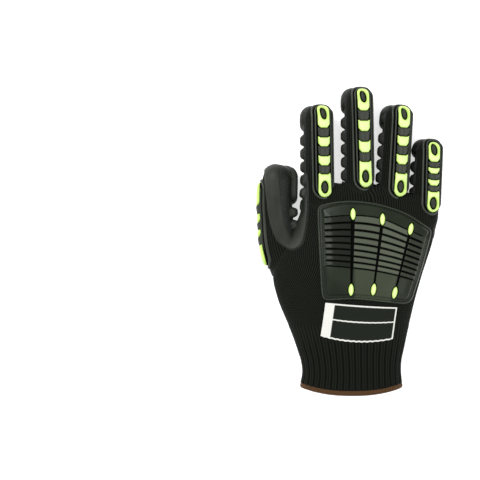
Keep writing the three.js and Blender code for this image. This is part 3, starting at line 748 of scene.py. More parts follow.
# %% Hem
wraps = 110
wrap_points = 8
hem_columns = wraps * wrap_points
thread_swell = 0.45
hem_middle = -2.25  # how far the middle of the band lies from the edge of the knit
angles = even_angles(mouth, hem_columns)
hem_rows, strands = [], []
for t in np.linspace(0, 2 * np.pi, 22, endpoint=False):
    slant = 1.4 * np.sin(t)
    thread = np.abs(np.cos(np.pi * (np.arange(hem_columns) / wrap_points + slant))) ** 0.7
    grow = -knit_wall / 2 + (1.65 + thread_swell * thread) * signed_power(np.cos(t), 0.8)
    point = hand_point(np.full(hem_columns, mouth), angles, grow)
    point[:, 1] += hem_middle + (1.85 + thread_swell * thread) * np.sin(t)
    point[:, 2] = np.maximum(point[:, 2], 0)
    hem_rows.append(point)
    strands.append(thread)
hem_rows.append(hem_rows[0])
strands.append(strands[0])
hem = grid_object("overlocked_hem", np.array(hem_rows), ring=True)
note(hem, "strand", np.array(strands))
finish_piece(hem, hem_thread, "cuff_hem", slot="hem_yarn")

# %% [markdown]
# ## The rubber coating and its pads
#
# The palm side is dipped and moulded: a film about a millimetre thick with raised pads. The film is a
# finer copy of the fused hand, pushed out along its normals by a height that is worked out at every
# vertex. Below the film's outline the height turns negative and the surface dives into the knit, which
# gives a clean feathered edge. Pads on the fingers are ribs round the finger, and those on the palm
# are pillows in rows that fan out over the ball of the thumb.

# %% Distance helpers
pad_corner = 3.4


def outline_place(x, y, outline):
    """Signed distance to a closed outline, positive inside, and where along it the nearest point is."""
    best = np.full(len(x), np.inf)
    nearest = np.zeros(len(x))
    passed = 0.0
    inside = np.zeros(len(x), bool)
    for (ax, ay), (bx, by) in zip(outline, np.roll(outline, -1, axis=0)):
        dx, dy = bx - ax, by - ay
        t = np.clip(((x - ax) * dx + (y - ay) * dy) / (dx * dx + dy * dy + 1e-12), 0, 1)
        off = np.hypot(x - ax - t * dx, y - ay - t * dy)
        nearest = np.where(off < best, passed + t * math.hypot(dx, dy), nearest)
        best = np.minimum(best, off)
        passed += math.hypot(dx, dy)
        crosses = (ay > y) != (by > y)
        with np.errstate(divide="ignore", invalid="ignore"):
            inside ^= crosses & (x < dx * (y - ay) / (by - ay) + ax)
    return np.where(inside, best, -best), nearest


def outline_distance(x, y, outline):
    return outline_place(x, y, outline)[0]


def rounded(outline, steps=8):
    """A closed outline in shares, scaled to millimetres and smoothed through its points."""
    knots = np.array(outline) * [hand_width, hand_length]
    padded = np.vstack([knots[-2:], knots, knots[:3]])
    at = np.arange(len(padded))
    fine = np.arange(2, len(knots) + 2, 1 / steps)
    return flowing(fine, at, padded)


def pillow(inside, edge):
    """Height share of a pad at a distance inside its rim."""
    t = np.clip(inside / edge, 0, 1)
    return np.sqrt(1 - (1 - t) ** 2)


def rounded_bar(along, beside, half_length, half_width):
    """Distance inside the rim of a bar with rounded corners."""
    past = np.abs(along) - (half_length - pad_corner)
    aside = np.abs(beside) - (half_width - pad_corner)
    corner = np.hypot(np.maximum(past, 0), np.maximum(aside, 0))
    return pad_corner - corner - np.minimum(np.maximum(past, aside), 0)


# %% [markdown]
# The pads are listed as shares of the hand's width and length. A palm row has the heights of its two
# ends and the spans of its pads between them, and a pad over the ball of the thumb has its two ends.

# %% Tables of the pads
palm_rows = [
    ((0.915, 0.88), [(-0.37, -0.03), (0.0, 0.26), (0.29, 0.62)]),
    ((0.847, 0.812), [(-0.36, -0.055), (-0.025, 0.205), (0.235, 0.465), (0.51, 0.62)]),
    ((0.78, 0.742), [(-0.245, 0.225), (0.255, 0.615)]),
    ((0.702, 0.69), [(-0.215, 0.005), (0.04, 0.325), (0.375, 0.59)]),
    ((0.635, 0.618), [(-0.18, 0.225), (0.28, 0.555)]),
    ((0.553, 0.545), [(-0.167, 0.065), (0.11, 0.51)]),
    ((0.483, 0.47), [(-0.175, 0.18), (0.235, 0.425)]),
    ((0.42, 0.4), [(-0.275, 0.165), (0.205, 0.28)]),
]
thumb_fan = [
    ((-0.577, 0.672), (-0.335, 0.79)),
    ((-0.53, 0.612), (-0.29, 0.752)),
    ((-0.48, 0.567), (-0.275, 0.668)),
    ((-0.41, 0.516), (-0.27, 0.6)),
    ((-0.335, 0.473), (-0.25, 0.513)),
]
palm_outline = rounded([
    (-0.63, 0.61), (-0.515, 0.56), (-0.43, 0.5), (-0.35, 0.44), (-0.27, 0.395), (-0.07, 0.36),
    (0.11, 0.357), (0.2, 0.37), (0.29, 0.402), (0.4, 0.445), (0.48, 0.505), (0.52, 0.57),
    (0.75, 0.62), (0.75, 1.02), (-0.4, 1.02), (-0.42, 0.86), (-0.63, 0.86),
])
web_outline = rounded([
    (-0.64, 1.06), (-0.63, 0.96), (-0.605, 0.84), (-0.56, 0.755), (-0.49, 0.71), (-0.42, 0.7),
    (-0.36, 0.735), (-0.33, 0.815), (-0.318, 0.93), (-0.335, 1.07), (-0.4, 1.1), (-0.5, 1.2),
    (-0.64, 1.2),
])


def palm_pad_list():
    """Both ends of every pad on the palm, in millimetres."""
    scale = np.array([hand_width, hand_length])
    pads = []
    for (thumb_side, little_side), spans in palm_rows:
        for span in spans:
            ends = [(x, thumb_side + (little_side - thumb_side) * (x + 0.4) / 1.05) for x in span]
            pads.append((*(np.array(ends) * scale), False))
    return pads + [(*(np.array(ends) * scale), True) for ends in thumb_fan]


# %% [markdown]
# Every vertex now gets its height from what lies there: the film, the smooth band at the web between
# thumb and index finger, and the tallest pad. The film ends lower at the little-finger side, and the
# ribs of the four fingers reach further round at the thumb side.

# %% Coating
coat = fused_hand("padded_coating", 0.85, 6)
points, normals = mesh_points(coat), mesh_normals(coat)
owner, places = finger_of(points)
x, y, z = points.T
distance = hand_distance(x, y)
left, right, sole, depth = hand_section(distance)
palm_top = 0.93 * pad_stack + 0.27 * hand_depth
little_side_drop = 2.5
finger_wraps = (54.0, 88.0)  # degrees round the finger, to the little-finger and to the thumb side
film_half_wrap = 86
thumb_side_sink = 0.36  # how much lower the ribs get where they end at the thumb side

side_limit = palm_top - z - little_side_drop * smoothstep(x, 20, 45)
film = np.minimum(outline_distance(x, y, palm_outline), side_limit)
web = outline_distance(x, y, web_outline)
film = np.maximum(film, web)
pad = np.zeros(len(points))

thumb_number = len(fingers) - 1
thumb = fingers[thumb_number]
low_side = z < np.where(owner < 0, sole + 0.42 * depth, fingers[0].height)
underside = low_side & (owner != thumb_number)
ribs_end = thumb.straight + 0.95 * thumb.dome - thumb.facts["tip_pad"] * hand_length
ribs_end -= thumb.facts["ribs"] * thumb_rib_pitch
ball_edge = smoothstep(ribs_end - places[thumb_number][0], 0, 2)
ball_edge = np.where(owner == thumb_number, ball_edge, 1)
thumb_ball = low_side * ball_edge
rib_half = rib_width / 2
edge_share = np.abs(2 * x - left - right) / (right - left)
thinning = 1 - 0.7 * smoothstep(edge_share, 0.8, 1.0)
for start, end, at_thumb in palm_pad_list():
    run = end - start
    length = np.hypot(*run)
    ahead = run / length
    along = (x - start[0]) * ahead[0] + (distance - start[1]) * ahead[1] - length / 2
    beside = (x - start[0]) * -ahead[1] + (distance - start[1]) * ahead[0]
    inside = rounded_bar(along, beside, length / 2, rib_half)
    raised = pillow(inside, 3.2) * (thumb_ball if at_thumb else thinning * underside)
    pad = np.maximum(pad, raised)

for number, (along, angle) in places.items():
    finger = fingers[number]
    facts = finger.facts
    on = owner == number
    aside = (angle + 90 - facts["pad_turn"] + 180) % 360 - 180  # degrees from the pads' middle
    arc = np.radians(np.abs(aside)) * finger.width / 2
    wraps = (rib_half_wrap, rib_half_wrap) if finger.flare else finger_wraps
    reach = math.radians(film_half_wrap) * finger.width / 2
    end = finger.straight + 0.6 * finger.dome
    film = np.where(on, np.maximum(film, np.minimum(reach - arc, end + 4 - along)), film)
    last = finger.straight + 0.95 * finger.dome
    first = last - facts["tip_pad"] * hand_length
    pitch = thumb_rib_pitch if finger.flare else rib_pitch
    limit = np.radians(np.where(aside > 0, *wraps)) * finger.width / 2
    sinks = 1 - thumb_side_sink * smoothstep(-aside, 40, 80) * (finger.flare == 0)
    middle = (first + last) / 2
    tip = np.hypot(
        np.maximum(np.abs(along - middle) - ((last - first) / 2 - limit * 0.8), 0) / (limit * 0.8),
        np.minimum(arc / limit, 2),
    )
    pad = np.where(on, np.maximum(pad, sinks * pillow((1 - tip) * limit, 4.0)), pad)
    for rib in range(facts["ribs"]):
        centre = first - pitch / 2 - 0.2 - rib * pitch
        inside = rounded_bar(arc, along - centre, limit + 3.0, rib_half)
        pad = np.where(on, np.maximum(pad, sinks * pillow(inside, pad_corner)), pad)

pad *= smoothstep(film, -0.5, 2.0)
band = smoothstep(web, 0.0, 1.5) * (1 - smoothstep(web, 9.0, 12.5)) * (z > sole + 0.35 * depth)
height = -0.7 + (layer_gap + coat_thickness + 0.7) * smoothstep(film, -1.2, 0.8)
height = height + 0.5 * band * pillow(np.minimum(web, 11 - web), 4.0) + pad_height * pad
moved = points + normals * height[:, None]
moved[:, 2] = np.maximum(moved[:, 2], 0)
set_points(coat, moved)
note(coat, "pad", pad)
# Painted shade mask: 1 where a surface faces the table, 0 where it faces up or sideways.
note(coat, "facing_down", smoothstep(-normals[:, 2], 0.0, 0.7))
note(coat, "plain", band)
keep_only(coat, film > -2.2)
finish_piece(coat, coat_rubber, "palm_coating", slot="pad_rubber")

# %% [markdown]
# ## Plates on a curved seat
#
# Guards, inserts and ovals are flat mouldings bent over a curved seat. `plate` builds one as rings
# that grow from a hole or a centre out to an outline, with a rounded shoulder and a wall down to the
# seat. The seat is any function from two lengths and a height to a point, so the same code serves the
# fingers and the knuckle panel.

# %% Plate builder


def ray_reach(outline, centre, angles):
    """How far the outline is from the centre in each direction."""
    a = outline - centre
    b = np.roll(a, -1, axis=0)
    reach = np.full(len(angles), np.inf)
    for (ax, ay), (bx, by) in zip(a, b):
        dx, dy = np.cos(angles), np.sin(angles)
        ex, ey = bx - ax, by - ay
        cross = dx * ey - dy * ex
        with np.errstate(divide="ignore", invalid="ignore"):
            t = (ax * ey - ay * ex) / cross
            s = (ax * dy - ay * dx) / cross
        good = (np.abs(cross) > 1e-12) & (t > 0) & (s >= -1e-9) & (s <= 1 + 1e-9)
        reach = np.where(good & (t < reach), t, reach)
    return reach


def plate(
    seat, outline, centre, low, high,
    hole=None, lean=0.0, relief=None, round_off=0.7, count=96, rings=12,
):
    """Points, faces and distances from the rim of a moulded plate, negative on its walls.

    hole gives the half sizes of an oval opening.
    """
    outline, centre = np.asarray(outline, float), np.asarray(centre, float)
    angles = np.linspace(0, 2 * np.pi, count, endpoint=False)
    outer = ray_reach(outline, centre, angles)
    inner = np.zeros(count)
    if hole is not None:
        a, b = hole
        inner = a * b / np.hypot(b * np.cos(angles - lean), a * np.sin(angles - lean))
    wall = np.full(count, low), np.full(count, -2.0)
    rows = [(inner, *wall)] if hole is not None else []
    for share in np.linspace(0, 1, rings):
        where = inner + share * (outer - inner)
        gap = outer - where if hole is None else np.minimum(outer - where, where - inner)
        shoulder = np.sqrt(1 - (1 - np.clip(gap / round_off, 0, 1)) ** 2)
        rise = high - round_off * (1 - shoulder)
        if relief:
            rise = rise + relief(where * np.cos(angles), where * np.sin(angles))
        rows.append((where, rise, gap))
    rows.append((outer, *wall))
    reach, rise, core = (np.array(column) for column in zip(*rows))
    points = seat(centre[0] + reach * np.cos(angles), centre[1] + reach * np.sin(angles), rise)
    return points.reshape(-1, 3), grid_faces(len(rows), count, ring=True), core.ravel()


def gather(name, parts, attribute="core"):
    """One object from several (points, faces, numbers) parts. The numbers become an attribute."""
    points, faces, numbers = zip(*parts)
    starts = np.cumsum([0] + [len(p) for p in points[:-1]])
    thing = make_object(name, np.vstack(points), np.vstack([f + s for f, s in zip(faces, starts)]))
    note(thing, attribute, np.concatenate(numbers))
    return thing


def leaf_outline(half_width, half_length):
    """An oval with slightly pointed ends."""
    t = np.linspace(0, 2 * np.pi, 48, endpoint=False)
    return np.stack([half_width * signed_power(np.cos(t), 1.35), half_length * np.sin(t)], -1)


# %% [markdown]
# ## Guards along the fingers
#
# Each strip is moulded in one piece with a stitched flange round it, a raised body and arched ribs
# between the bright inserts. The body is a height field over the finger: the height follows from the
# distance to the strip's rim, which is a long rounded slot shape.

# %% Strip seat
guard_half_wrap = 47.0
thumb_half_wrap = 37.0
outer_lift = 1.3  # how much higher a finger strip stands at its little-finger side
insert_half = 4.4
insert_shares = {"little": 0.95, "thumb": 1.17}  # these inserts are narrower or wider


def guard_span(finger):
    start = finger.facts["guard_from"] * hand_length
    end = finger.straight + math.pi / 2 * finger.dome - finger.facts["guard_end"] * hand_length
    return start, end


def finger_seat(finger):
    """Lengths across and along the strip to points on the finger, as wide over the tip as elsewhere."""
    radius = (finger.width + finger.depth) / 4 + 2.5
    start, end = guard_span(finger)
    sway = finger.facts["sway"]

    def seat(across, along, height):
        across, along, height = np.broadcast_arrays(across, along, height)
        share = (along - start) / (end - start)
        middle = 90 + finger.facts["guard_turn"] + sway * (share - 0.4)
        angle = middle - np.degrees(across / radius)
        fallen = np.cos(np.maximum(0, along - finger.straight) / finger.dome)
        line = finger.spot(along, middle, height)
        ahead = finger.spot(np.minimum(along, finger.straight), middle, height)
        beside = finger.spot(np.minimum(along, finger.straight), angle, height)
        flat = line[..., :2] + beside[..., :2] - ahead[..., :2]
        up = finger.height + (beside[..., 2] - finger.height) * fallen
        return np.concatenate([flat, up[..., None]], -1)

    return seat, radius


# %% Strip profile


def guard_rim(inside):
    """Height of the strip at a distance inside its rim."""
    flange = 0.2 + 1.5 * pillow(inside, 0.9)
    stitch_line = 0.9 * np.exp(-(((inside - 2.9) / 0.8) ** 4))
    wall = 1.5 * smoothstep(inside, 3.7, 4.1)
    floor = 1.9 * smoothstep(inside, 5.1, 5.5)
    return flange - stitch_line + wall - floor


def guard_shade(inside):
    """1 where the strip is nearly black: in the stitch line and on the floor under the inserts."""
    stitch_line = np.exp(-(((inside - 2.95) / 0.95) ** 4))
    return np.maximum(stitch_line, smoothstep(inside, 4.9, 5.2))


def guard_body(finger):
    seat, radius = finger_seat(finger)
    start, end = guard_span(finger)
    half = math.radians(thumb_half_wrap if finger.flare else guard_half_wrap) * radius
    cap = half * (1 - np.cos(np.linspace(0, np.pi / 2, 24)))
    straight = np.arange(start + half, end - half, 0.7)
    along = np.unique(np.concatenate([start + cap, straight, end - cap]).round(4))
    into = np.clip(np.minimum(along - start, end - along) / half, 0, 1)
    wide = np.maximum(half * np.sqrt(1 - (1 - into) ** 2), 0.05)
    across = wide[:, None] * np.linspace(-1, 1, 91)[None]
    past = np.maximum(np.maximum(start + half - along, along - (end - half)), 0)[:, None]
    inside = np.maximum(half - np.hypot(across, past), 0)
    stitches = 0.22 * np.cos(2 * np.pi / 1.6 * (along[:, None] + across * (past > 0)))
    stitches = stitches * np.exp(-(((inside - 1.6) / 0.35) ** 4))
    lift = outer_lift * smoothstep(across / half, 0.45, 0.95) * (finger.flare == 0)
    lift = lift * (1 - smoothstep(past, 0, 0.5 * half))
    points = seat(across, along[:, None], guard_rim(inside) + stitches + lift)
    skirt = seat(across, along[:, None], np.full_like(inside, -1.6))
    points = np.concatenate([skirt[:, :1], points, skirt[:, -1:]], axis=1)
    shade = np.pad(guard_shade(inside), ((0, 0), (1, 1)))
    return points.reshape(-1, 3), grid_faces(*points.shape[:2]), shade.ravel()


# %% [markdown]
# The bright inserts are a loop at each end of the strip and two bars between them. A loop has an oval
# window with a dark ridged button in it. The upper corners of a bar stand up as small horns and its
# lower corners are cut off.

# %% Outlines of the inserts
horn = 1.7  # how far the upper corners of an insert stand up
cut = 2.7  # how far its lower corners are cut off


def bar_outline(low, high, half, horn=horn, cut=cut):
    """Two upstanding corners, a flat between them and cut-off lower corners."""
    across = np.linspace(-1, 1, 41)
    top = high - horn * (1 - np.clip((np.abs(across) - 0.68) / 0.32, 0, 1))
    bottom = low + cut * np.clip((np.abs(across) - 0.58) / 0.42, 0, 1)
    upper = np.stack([across * half, top], -1)[::-1]
    lower = np.stack([across * half * 0.97, bottom], -1)
    return np.vstack([lower, upper])


def loop_outline(low, high, half, at_tip):
    """A loop with its round end towards the fingertip, or towards the wrist."""
    t = np.linspace(0, np.pi, 30)
    bar = bar_outline(low, high, half)
    if at_tip:
        arc = np.stack([half * np.cos(t), high - 1.15 * half * (1 - np.sin(t))], -1)
        return np.vstack([bar[:41], arc])
    arc = np.stack([-1.1 * half * np.cos(t), low + 1.1 * half * (1 - np.sin(t))], -1)
    return np.vstack([arc, bar[41:]])


# %% [markdown]
# A relief adds to the height of a plate, from two lengths across and along it. A loop falls towards its
# round end, a button has a ridge along its middle, and a rib between two inserts has a shallow valley.

# %% Reliefs


def end_slope(side, reach):
    """The fall of a loop from this reach on, to the fingertip when side is 1, or to the wrist at -1."""

    def fall(u, v):
        return -2.0 * smoothstep(side * v, reach, reach + 6)

    return fall


def button_ridge(half_width):
    def ridge(u, v):
        return 0.7 * (1 - np.abs(u) / half_width)

    return ridge


def valley(u, v):
    """A shallow valley along the middle of a rib, and a top that falls towards the wrist."""
    return -0.5 * np.exp(-((u / 0.6) ** 2)) + 0.12 * np.cos(u * 2.4) + 0.12 * np.clip(v, -3, 3)


def leaned(outline, lean):
    turn = [[math.cos(lean), math.sin(lean)], [-math.sin(lean), math.cos(lean)]]
    return outline @ turn


# %% [markdown]
# Heights are counted from the knit, and each plate runs from a low to a high one.

# %% Strips, inserts and buttons
windows = {"base": (3.05, 5.3, 0.0), "tip": (2.55, 4.3, 0.2)}  # half width, half length, lean
window_places = {"base": 0.4, "tip": 0.62}  # shares of the loop's length
window_gap = 0.9
insert_heights = (1.2, 4.8)
button_heights = (0.4, 3.5)
rib_heights = (0.4, 4.9)
buttons = []

for finger in fingers:
    seat, _ = finger_seat(finger)
    start, end = guard_span(finger)
    half = insert_half * insert_shares.get(finger.name, 1.0)
    spans = [[start + share * (end - start) for share in row] for row in finger.facts["layout"]]
    for name, (low, high) in zip(("base", "lower", "upper", "tip"), spans):
        if name in windows:
            a, b, lean = windows[name]
            at = low + (high - low) * window_places[name]
            outline = loop_outline(low, high, half, name == "tip")
            side, to_end = (1, high - at) if name == "tip" else (-1, at - low)
            slope = end_slope(side, to_end - 4.5)
            part = plate(
                seat, outline, (0, at), *insert_heights, hole=(a, b), lean=lean, relief=slope
            )
            oval = leaned(leaf_outline(a - window_gap, b - window_gap), lean) + [0, at]
            ridge = button_ridge(a)
            buttons.append(
                plate(seat, oval, (0, at), *button_heights, relief=ridge, count=48, rings=9)
            )
        else:
            outline = bar_outline(low, high, half)
            part = plate(seat, outline, (0, (low + high) / 2), *insert_heights)
        insert = gather(f"{finger.name}_bright_{name}", [part])
        finish_piece(insert, bright_rubber, f"{finger.name}_insert_{name}", slot="bright_rubber")
    parts = [guard_body(finger)]
    for (_, below), (above, _) in zip(spans, spans[1:]):
        low, high = below - horn + 0.4, above + cut - 0.7
        outline = bar_outline(low, high, half, horn=cut - 0.3, cut=horn)
        points, faces, core = plate(
            seat, outline, (0, (low + high) / 2), *rib_heights, relief=valley, round_off=1.2
        )
        parts.append((points, faces, -smoothstep(core, 0.1, 0.9)))
    guard = gather(f"{finger.name}_strip", parts, "shade")
    finish_piece(guard, guard_rubber, f"{finger.name}_guard", slot="guard_rubber")
finish_piece(gather("strip_buttons", buttons), button_rubber, slot="guard_rubber")

# %% [markdown]
# ## The knuckle panel
#
# One moulding covers the knuckles. Its outline fans out towards the fingers and falls off to the
# little finger. From the rim inwards it has a flat stitched border, a step up to the raised field,
# nine louvre grooves across and three long grooves that taper towards the wrist.

# %% Panel outline


def filleted(table, steps=7):
    """A closed outline from rows of x share, y share and corner length in millimetres."""
    table = np.array(table, float)
    corners = table[:, :2] * [hand_width, hand_length]
    points = []
    for before, here, after, reach in zip(
        np.roll(corners, 1, axis=0), corners, np.roll(corners, -1, axis=0), table[:, 2]
    ):
        start = here + (before - here) * min(0.5, reach / np.hypot(*(before - here)))
        end = here + (after - here) * min(0.5, reach / np.hypot(*(after - here)))
        t = np.linspace(0, 1, steps)[:, None]
        points.append((1 - t) ** 2 * start + 2 * t * (1 - t) * here + t**2 * end)
    return np.vstack(points)


# across, along, corner: clockwise from the thumb-side upper corner
panel_outline = filleted([
    (-0.254, 0.913, 5), (-0.12, 0.933, 7), (0.02, 0.9375, 8), (0.18, 0.925, 9), (0.342, 0.895, 9),
    (0.45, 0.861, 6), (0.597, 0.796, 4), (0.555, 0.69, 9), (0.51, 0.59, 9), (0.473, 0.52, 6),
    (0.433, 0.436, 9), (0.28, 0.447, 8), (0.13, 0.4575, 8), (0.01, 0.466, 6), (-0.11, 0.461, 6),
    (-0.222, 0.457, 7), (-0.232, 0.53, 9), (-0.244, 0.7, 12), (-0.253, 0.83, 9),
])
print("panel outline, mm", panel_outline.min(0).round(1), panel_outline.max(0).round(1))


def back_seat(x, y, height):
    """The point at this height above the knitted back that is seen at (x, y)."""
    x, y, height = np.broadcast_arrays(*(np.asarray(v, float) for v in (x, y, height)))
    distance = hand_distance(x, y)
    return hand_point(distance, back_angle(distance, x, height), height)


# %% [markdown]
# The grooves follow two short tables. Each louvre groove is a smooth curve through five heights, given
# for the first, fifth and ninth groove, with the others worked out between them. Each lengthwise groove
# runs between two ovals and tapers towards the wrist.

# %% Groove tables
louvre_count = 9
louvre_columns = np.array([-0.36, -0.214, 0.0, 0.214, 0.411, 0.536, 0.68]) * hand_width
louvre_heights = np.array([
    [0.846, 0.855, 0.865, 0.849, 0.795, 0.76, 0.715],
    [0.728, 0.734, 0.731, 0.709, 0.672, 0.642, 0.607],
    [0.62, 0.624, 0.6145, 0.595, 0.564, 0.536, 0.505],
]) * hand_length
# upper end, lower end (across, along), half widths at both, tilt of the ovals at both in degrees
long_grooves = [
    ((0.007, 0.8715), (-0.011, 0.5105), (1.7, 0.7), (0, 2)),
    ((0.223, 0.846), (0.154, 0.5115), (1.45, 0.7), (3, 9)),
    ((0.431, 0.7995), (0.31, 0.496), (1.3, 0.65), (12, 13)),
]
oval_half = (2.15, 4.95)
ovals = [
    (f"{end}_{number}", np.array(place) * [hand_width, hand_length], math.radians(tilt))
    for number, (upper, lower, _, tilts) in enumerate(long_grooves, 1)
    for end, place, tilt in (("upper", upper, tilts[0]), ("lower", lower, tilts[1]))
]


def louvre_height(number, x):
    """How far along the glove a louvre groove lies at x."""
    t = 2 * number / (louvre_count - 1) - 1
    weights = np.array([t * (t - 1) / 2, 1 - t * t, t * (t + 1) / 2])
    return flowing(x, louvre_columns, weights @ louvre_heights)


def turned(x, y, place, tilt):
    """Coordinates across and along an oval at a place."""
    dx, dy = x - place[0], y - place[1]
    return dx * math.cos(tilt) - dy * math.sin(tilt), dx * math.sin(tilt) + dy * math.cos(tilt)


# %% [markdown]
# The panel is a fine grid of heights. Each feature is one field on this grid, such as the louvres, the
# long grooves, the sockets of the ovals, the border's stitch line and the step up to the raised field.

# %% Panel surface
step = 0.4
first, last = panel_outline.min(0) - 1.5, panel_outline.max(0) + 1.5
X, Y = np.meshgrid(np.arange(first[0], last[0], step), np.arange(first[1], last[1], step))
place_parts = outline_place(X.ravel(), Y.ravel(), panel_outline)
inside, run = (part.reshape(X.shape) for part in place_parts)
dashes = smoothstep(np.cos(2 * np.pi * run / 2.0), -0.5, 0.1)
rim_line = np.exp(-(((inside - 1.7) / 0.42) ** 4)) * (0.35 + 0.65 * dashes)
above_louvres = Y - louvre_height(0, X)
field_edge = 4.3 + 0.7 * smoothstep(-X, 5, 25) - 1.4 * smoothstep(above_louvres, 1, 8)
field = smoothstep(inside, field_edge - 0.7, field_edge + 0.7)
crease = np.exp(-(((inside - field_edge + 1.0) / 0.4) ** 2))

louvres, slat_tilt = np.zeros_like(X), np.zeros_like(X)
right_fade = 1 - smoothstep(X - 0.11 * (Y - 110), 53.5, 58.5)
left_fade = smoothstep(X, -24.6, -22.6)
for number in range(louvre_count):
    centre = louvre_height(number, X)
    width = {0: 0.42, 8: 0.6}.get(number, 1.0 - 0.03 * number) * (0.68 + 0.32 * smoothstep(X, -1, 3))
    louvres = np.maximum(louvres, np.exp(-(((Y - centre) / width) ** 4)))
    if number:
        above = louvre_height(number - 1, X)
        share = (Y - centre) / (above - centre)
        slat_tilt += np.where((share > 0) & (share < 1), 0.5 - share, 0)
louvres *= left_fade * right_fade

lengthwise = np.zeros_like(X)
for upper, lower, (wide, narrow), _ in long_grooves:
    (x1, y1), (x0, y0) = (np.array(end) * [hand_width, hand_length] for end in (upper, lower))
    t = np.clip((Y - y0) / (y1 - y0), 0, 1)
    off = np.abs(X - x0 - (x1 - x0) * t) / (narrow + (wide - narrow) * t)
    ends = (Y > y0) & (Y < y1)
    lengthwise = np.maximum(lengthwise, np.exp(-(off**4)) * ends)

sockets = np.zeros_like(X)
for _, place, tilt in ovals:
    across, along = turned(X, Y, place, tilt)
    sockets = np.maximum(sockets, 1 - smoothstep(np.hypot(across / 2.8, along / 5.7), 0.88, 1.04))

grooves = np.maximum(np.maximum(louvres, lengthwise), sockets)
dimple = 0.6 * np.exp(-((X - 6) ** 2 + (Y - 95) ** 2) / 50)
height = -1.0 + 2.9 * pillow(inside, 0.9) - 0.5 * rim_line - 0.3 * crease + 2.7 * field
height -= 0.9 * field * (1 - smoothstep(inside, field_edge, field_edge + 7))
height += 0.55 * slat_tilt * left_fade * right_fade - 2.1 * grooves * field + dimple
panel = grid_object("louvred_panel", back_seat(X, Y, height))
note(panel, "groove", np.maximum(np.maximum(grooves * field, 0.75 * rim_line), 0.4 * crease))
top_louvre, last_louvre = louvre_height(0, X), louvre_height(louvre_count - 1, X)
in_louvres = smoothstep(Y, last_louvre - 0.3, last_louvre + 0.3)
in_louvres = in_louvres * (1 - smoothstep(Y, top_louvre - 0.3, top_louvre + 0.3))
by_third = X - 0.28 * (Y - 90)  # the same number all along the third long groove
# Painted highlight: the middle cells of the louvres are painted lighter.
middle_cells = smoothstep(X - 0.02 * (Y - 92), 0.2, 1.2) * (1 - smoothstep(by_third, 36.2, 37.2))
dark_cells = (1 - smoothstep(X, -1, 0)) * (0.55 - 0.9 * smoothstep(-X, 15, 24)) * left_fade
right_cells = smoothstep(by_third, 36.6, 37.4) * 0.3
second_cells = 0.74 + 0.26 * smoothstep(X - 0.12 * (Y - 90), 19, 20.5)
note(panel, "slat", in_louvres * (middle_cells * second_cells - dark_cells + right_cells))
below = 1 - smoothstep(Y, last_louvre - 1, last_louvre)
note(panel, "field", field)
# Painted highlight: a thin light line along the rounded outer edge.
note(panel, "rim", np.exp(-(((inside - 0.5) / 0.6) ** 2)))
note(panel, "low", below * smoothstep(X, 0, 3) * (1 - smoothstep(by_third, 33, 36)))
keep_only(panel, (inside > -1.2).ravel())

# %% [markdown]
# The middle cells of the louvres are painted a shade lighter than the rest, as a painted highlight, the
# cells at the thumb side fade from light to dark, and the grooves are nearly black, as light never
# reaches their floors. A thin painted highlight runs along the rounded outer rim.

# %% Panel material
panel_shader = Shader("panel rubber", Specular_IOR_Level=0.12)
slow = panel_shader.noise(45.0, 3.0)
plain = slow.above(0.35, 0.7).mix(colour(26, 32, 22), colour(33, 39, 29))
bordered = panel_shader.vertex("field").mix(colour(30, 35, 27), plain)
# Painted highlight along the rounded rim.
rimmed = (panel_shader.vertex("rim") * 0.6).mix(bordered, colour(70, 77, 66))
lower_part = (panel_shader.vertex("low") * 0.6).mix(rimmed, colour(66, 73, 57))
slat = panel_shader.vertex("slat")
# A painted highlight on the middle cells, and lighter or darker tones on the other cells.
light_cells = slat.above(0.0, 1.0).mix(lower_part, colour(77, 83, 70))
dark_too = (slat * -1).above(0.0, 1.0).mix(light_cells, colour(8, 9, 7))
panel_shader.set("Base Color", dark_too)
panel_shader.set("Roughness", slow * 0.15 + 0.22)
panel_shader.bump(panel_shader.noise(1600.0) + slow * 0.5, 0.00004, 0.6)
panel_shader.blacken(panel_shader.vertex("groove").above(0.2, 0.7))
finish_piece(panel, panel_shader.material, "knuckle_panel", slot="guard_rubber")

# %% [markdown]
# Six bright ovals with a crowned top stand in the sockets at the ends of the long grooves.

# %% Bright ovals


def oval_seat(place, tilt):
    def seat(across, along, height):
        x = place[0] + across * math.cos(tilt) + along * math.sin(tilt)
        y = place[1] - across * math.sin(tilt) + along * math.cos(tilt)
        return back_seat(x, y, height)

    return seat


def crown(u, v):
    return 1.1 * (1 - (u / oval_half[0]) ** 2) * (1 - 0.4 * (v / oval_half[1]) ** 2)


for name, place, tilt in ovals:
    part = plate(
        oval_seat(place, tilt), leaf_outline(*oval_half), (0, 0), 2.4, 4.4, relief=crown, round_off=0.9,
        count=48, rings=10,
    )
    drop = gather(f"bright_oval_{name}", [part])
    finish_piece(drop, bright_rubber, f"panel_oval_{name}", slot="bright_rubber")

# %% [markdown]
# ## The woven patch
#
# A thin woven patch is sewn on the back of the cuff. It has a dark ground, a pale frame and a pale
# band along its thumb-side edge. It follows the knit below it and sags a little between its corners.

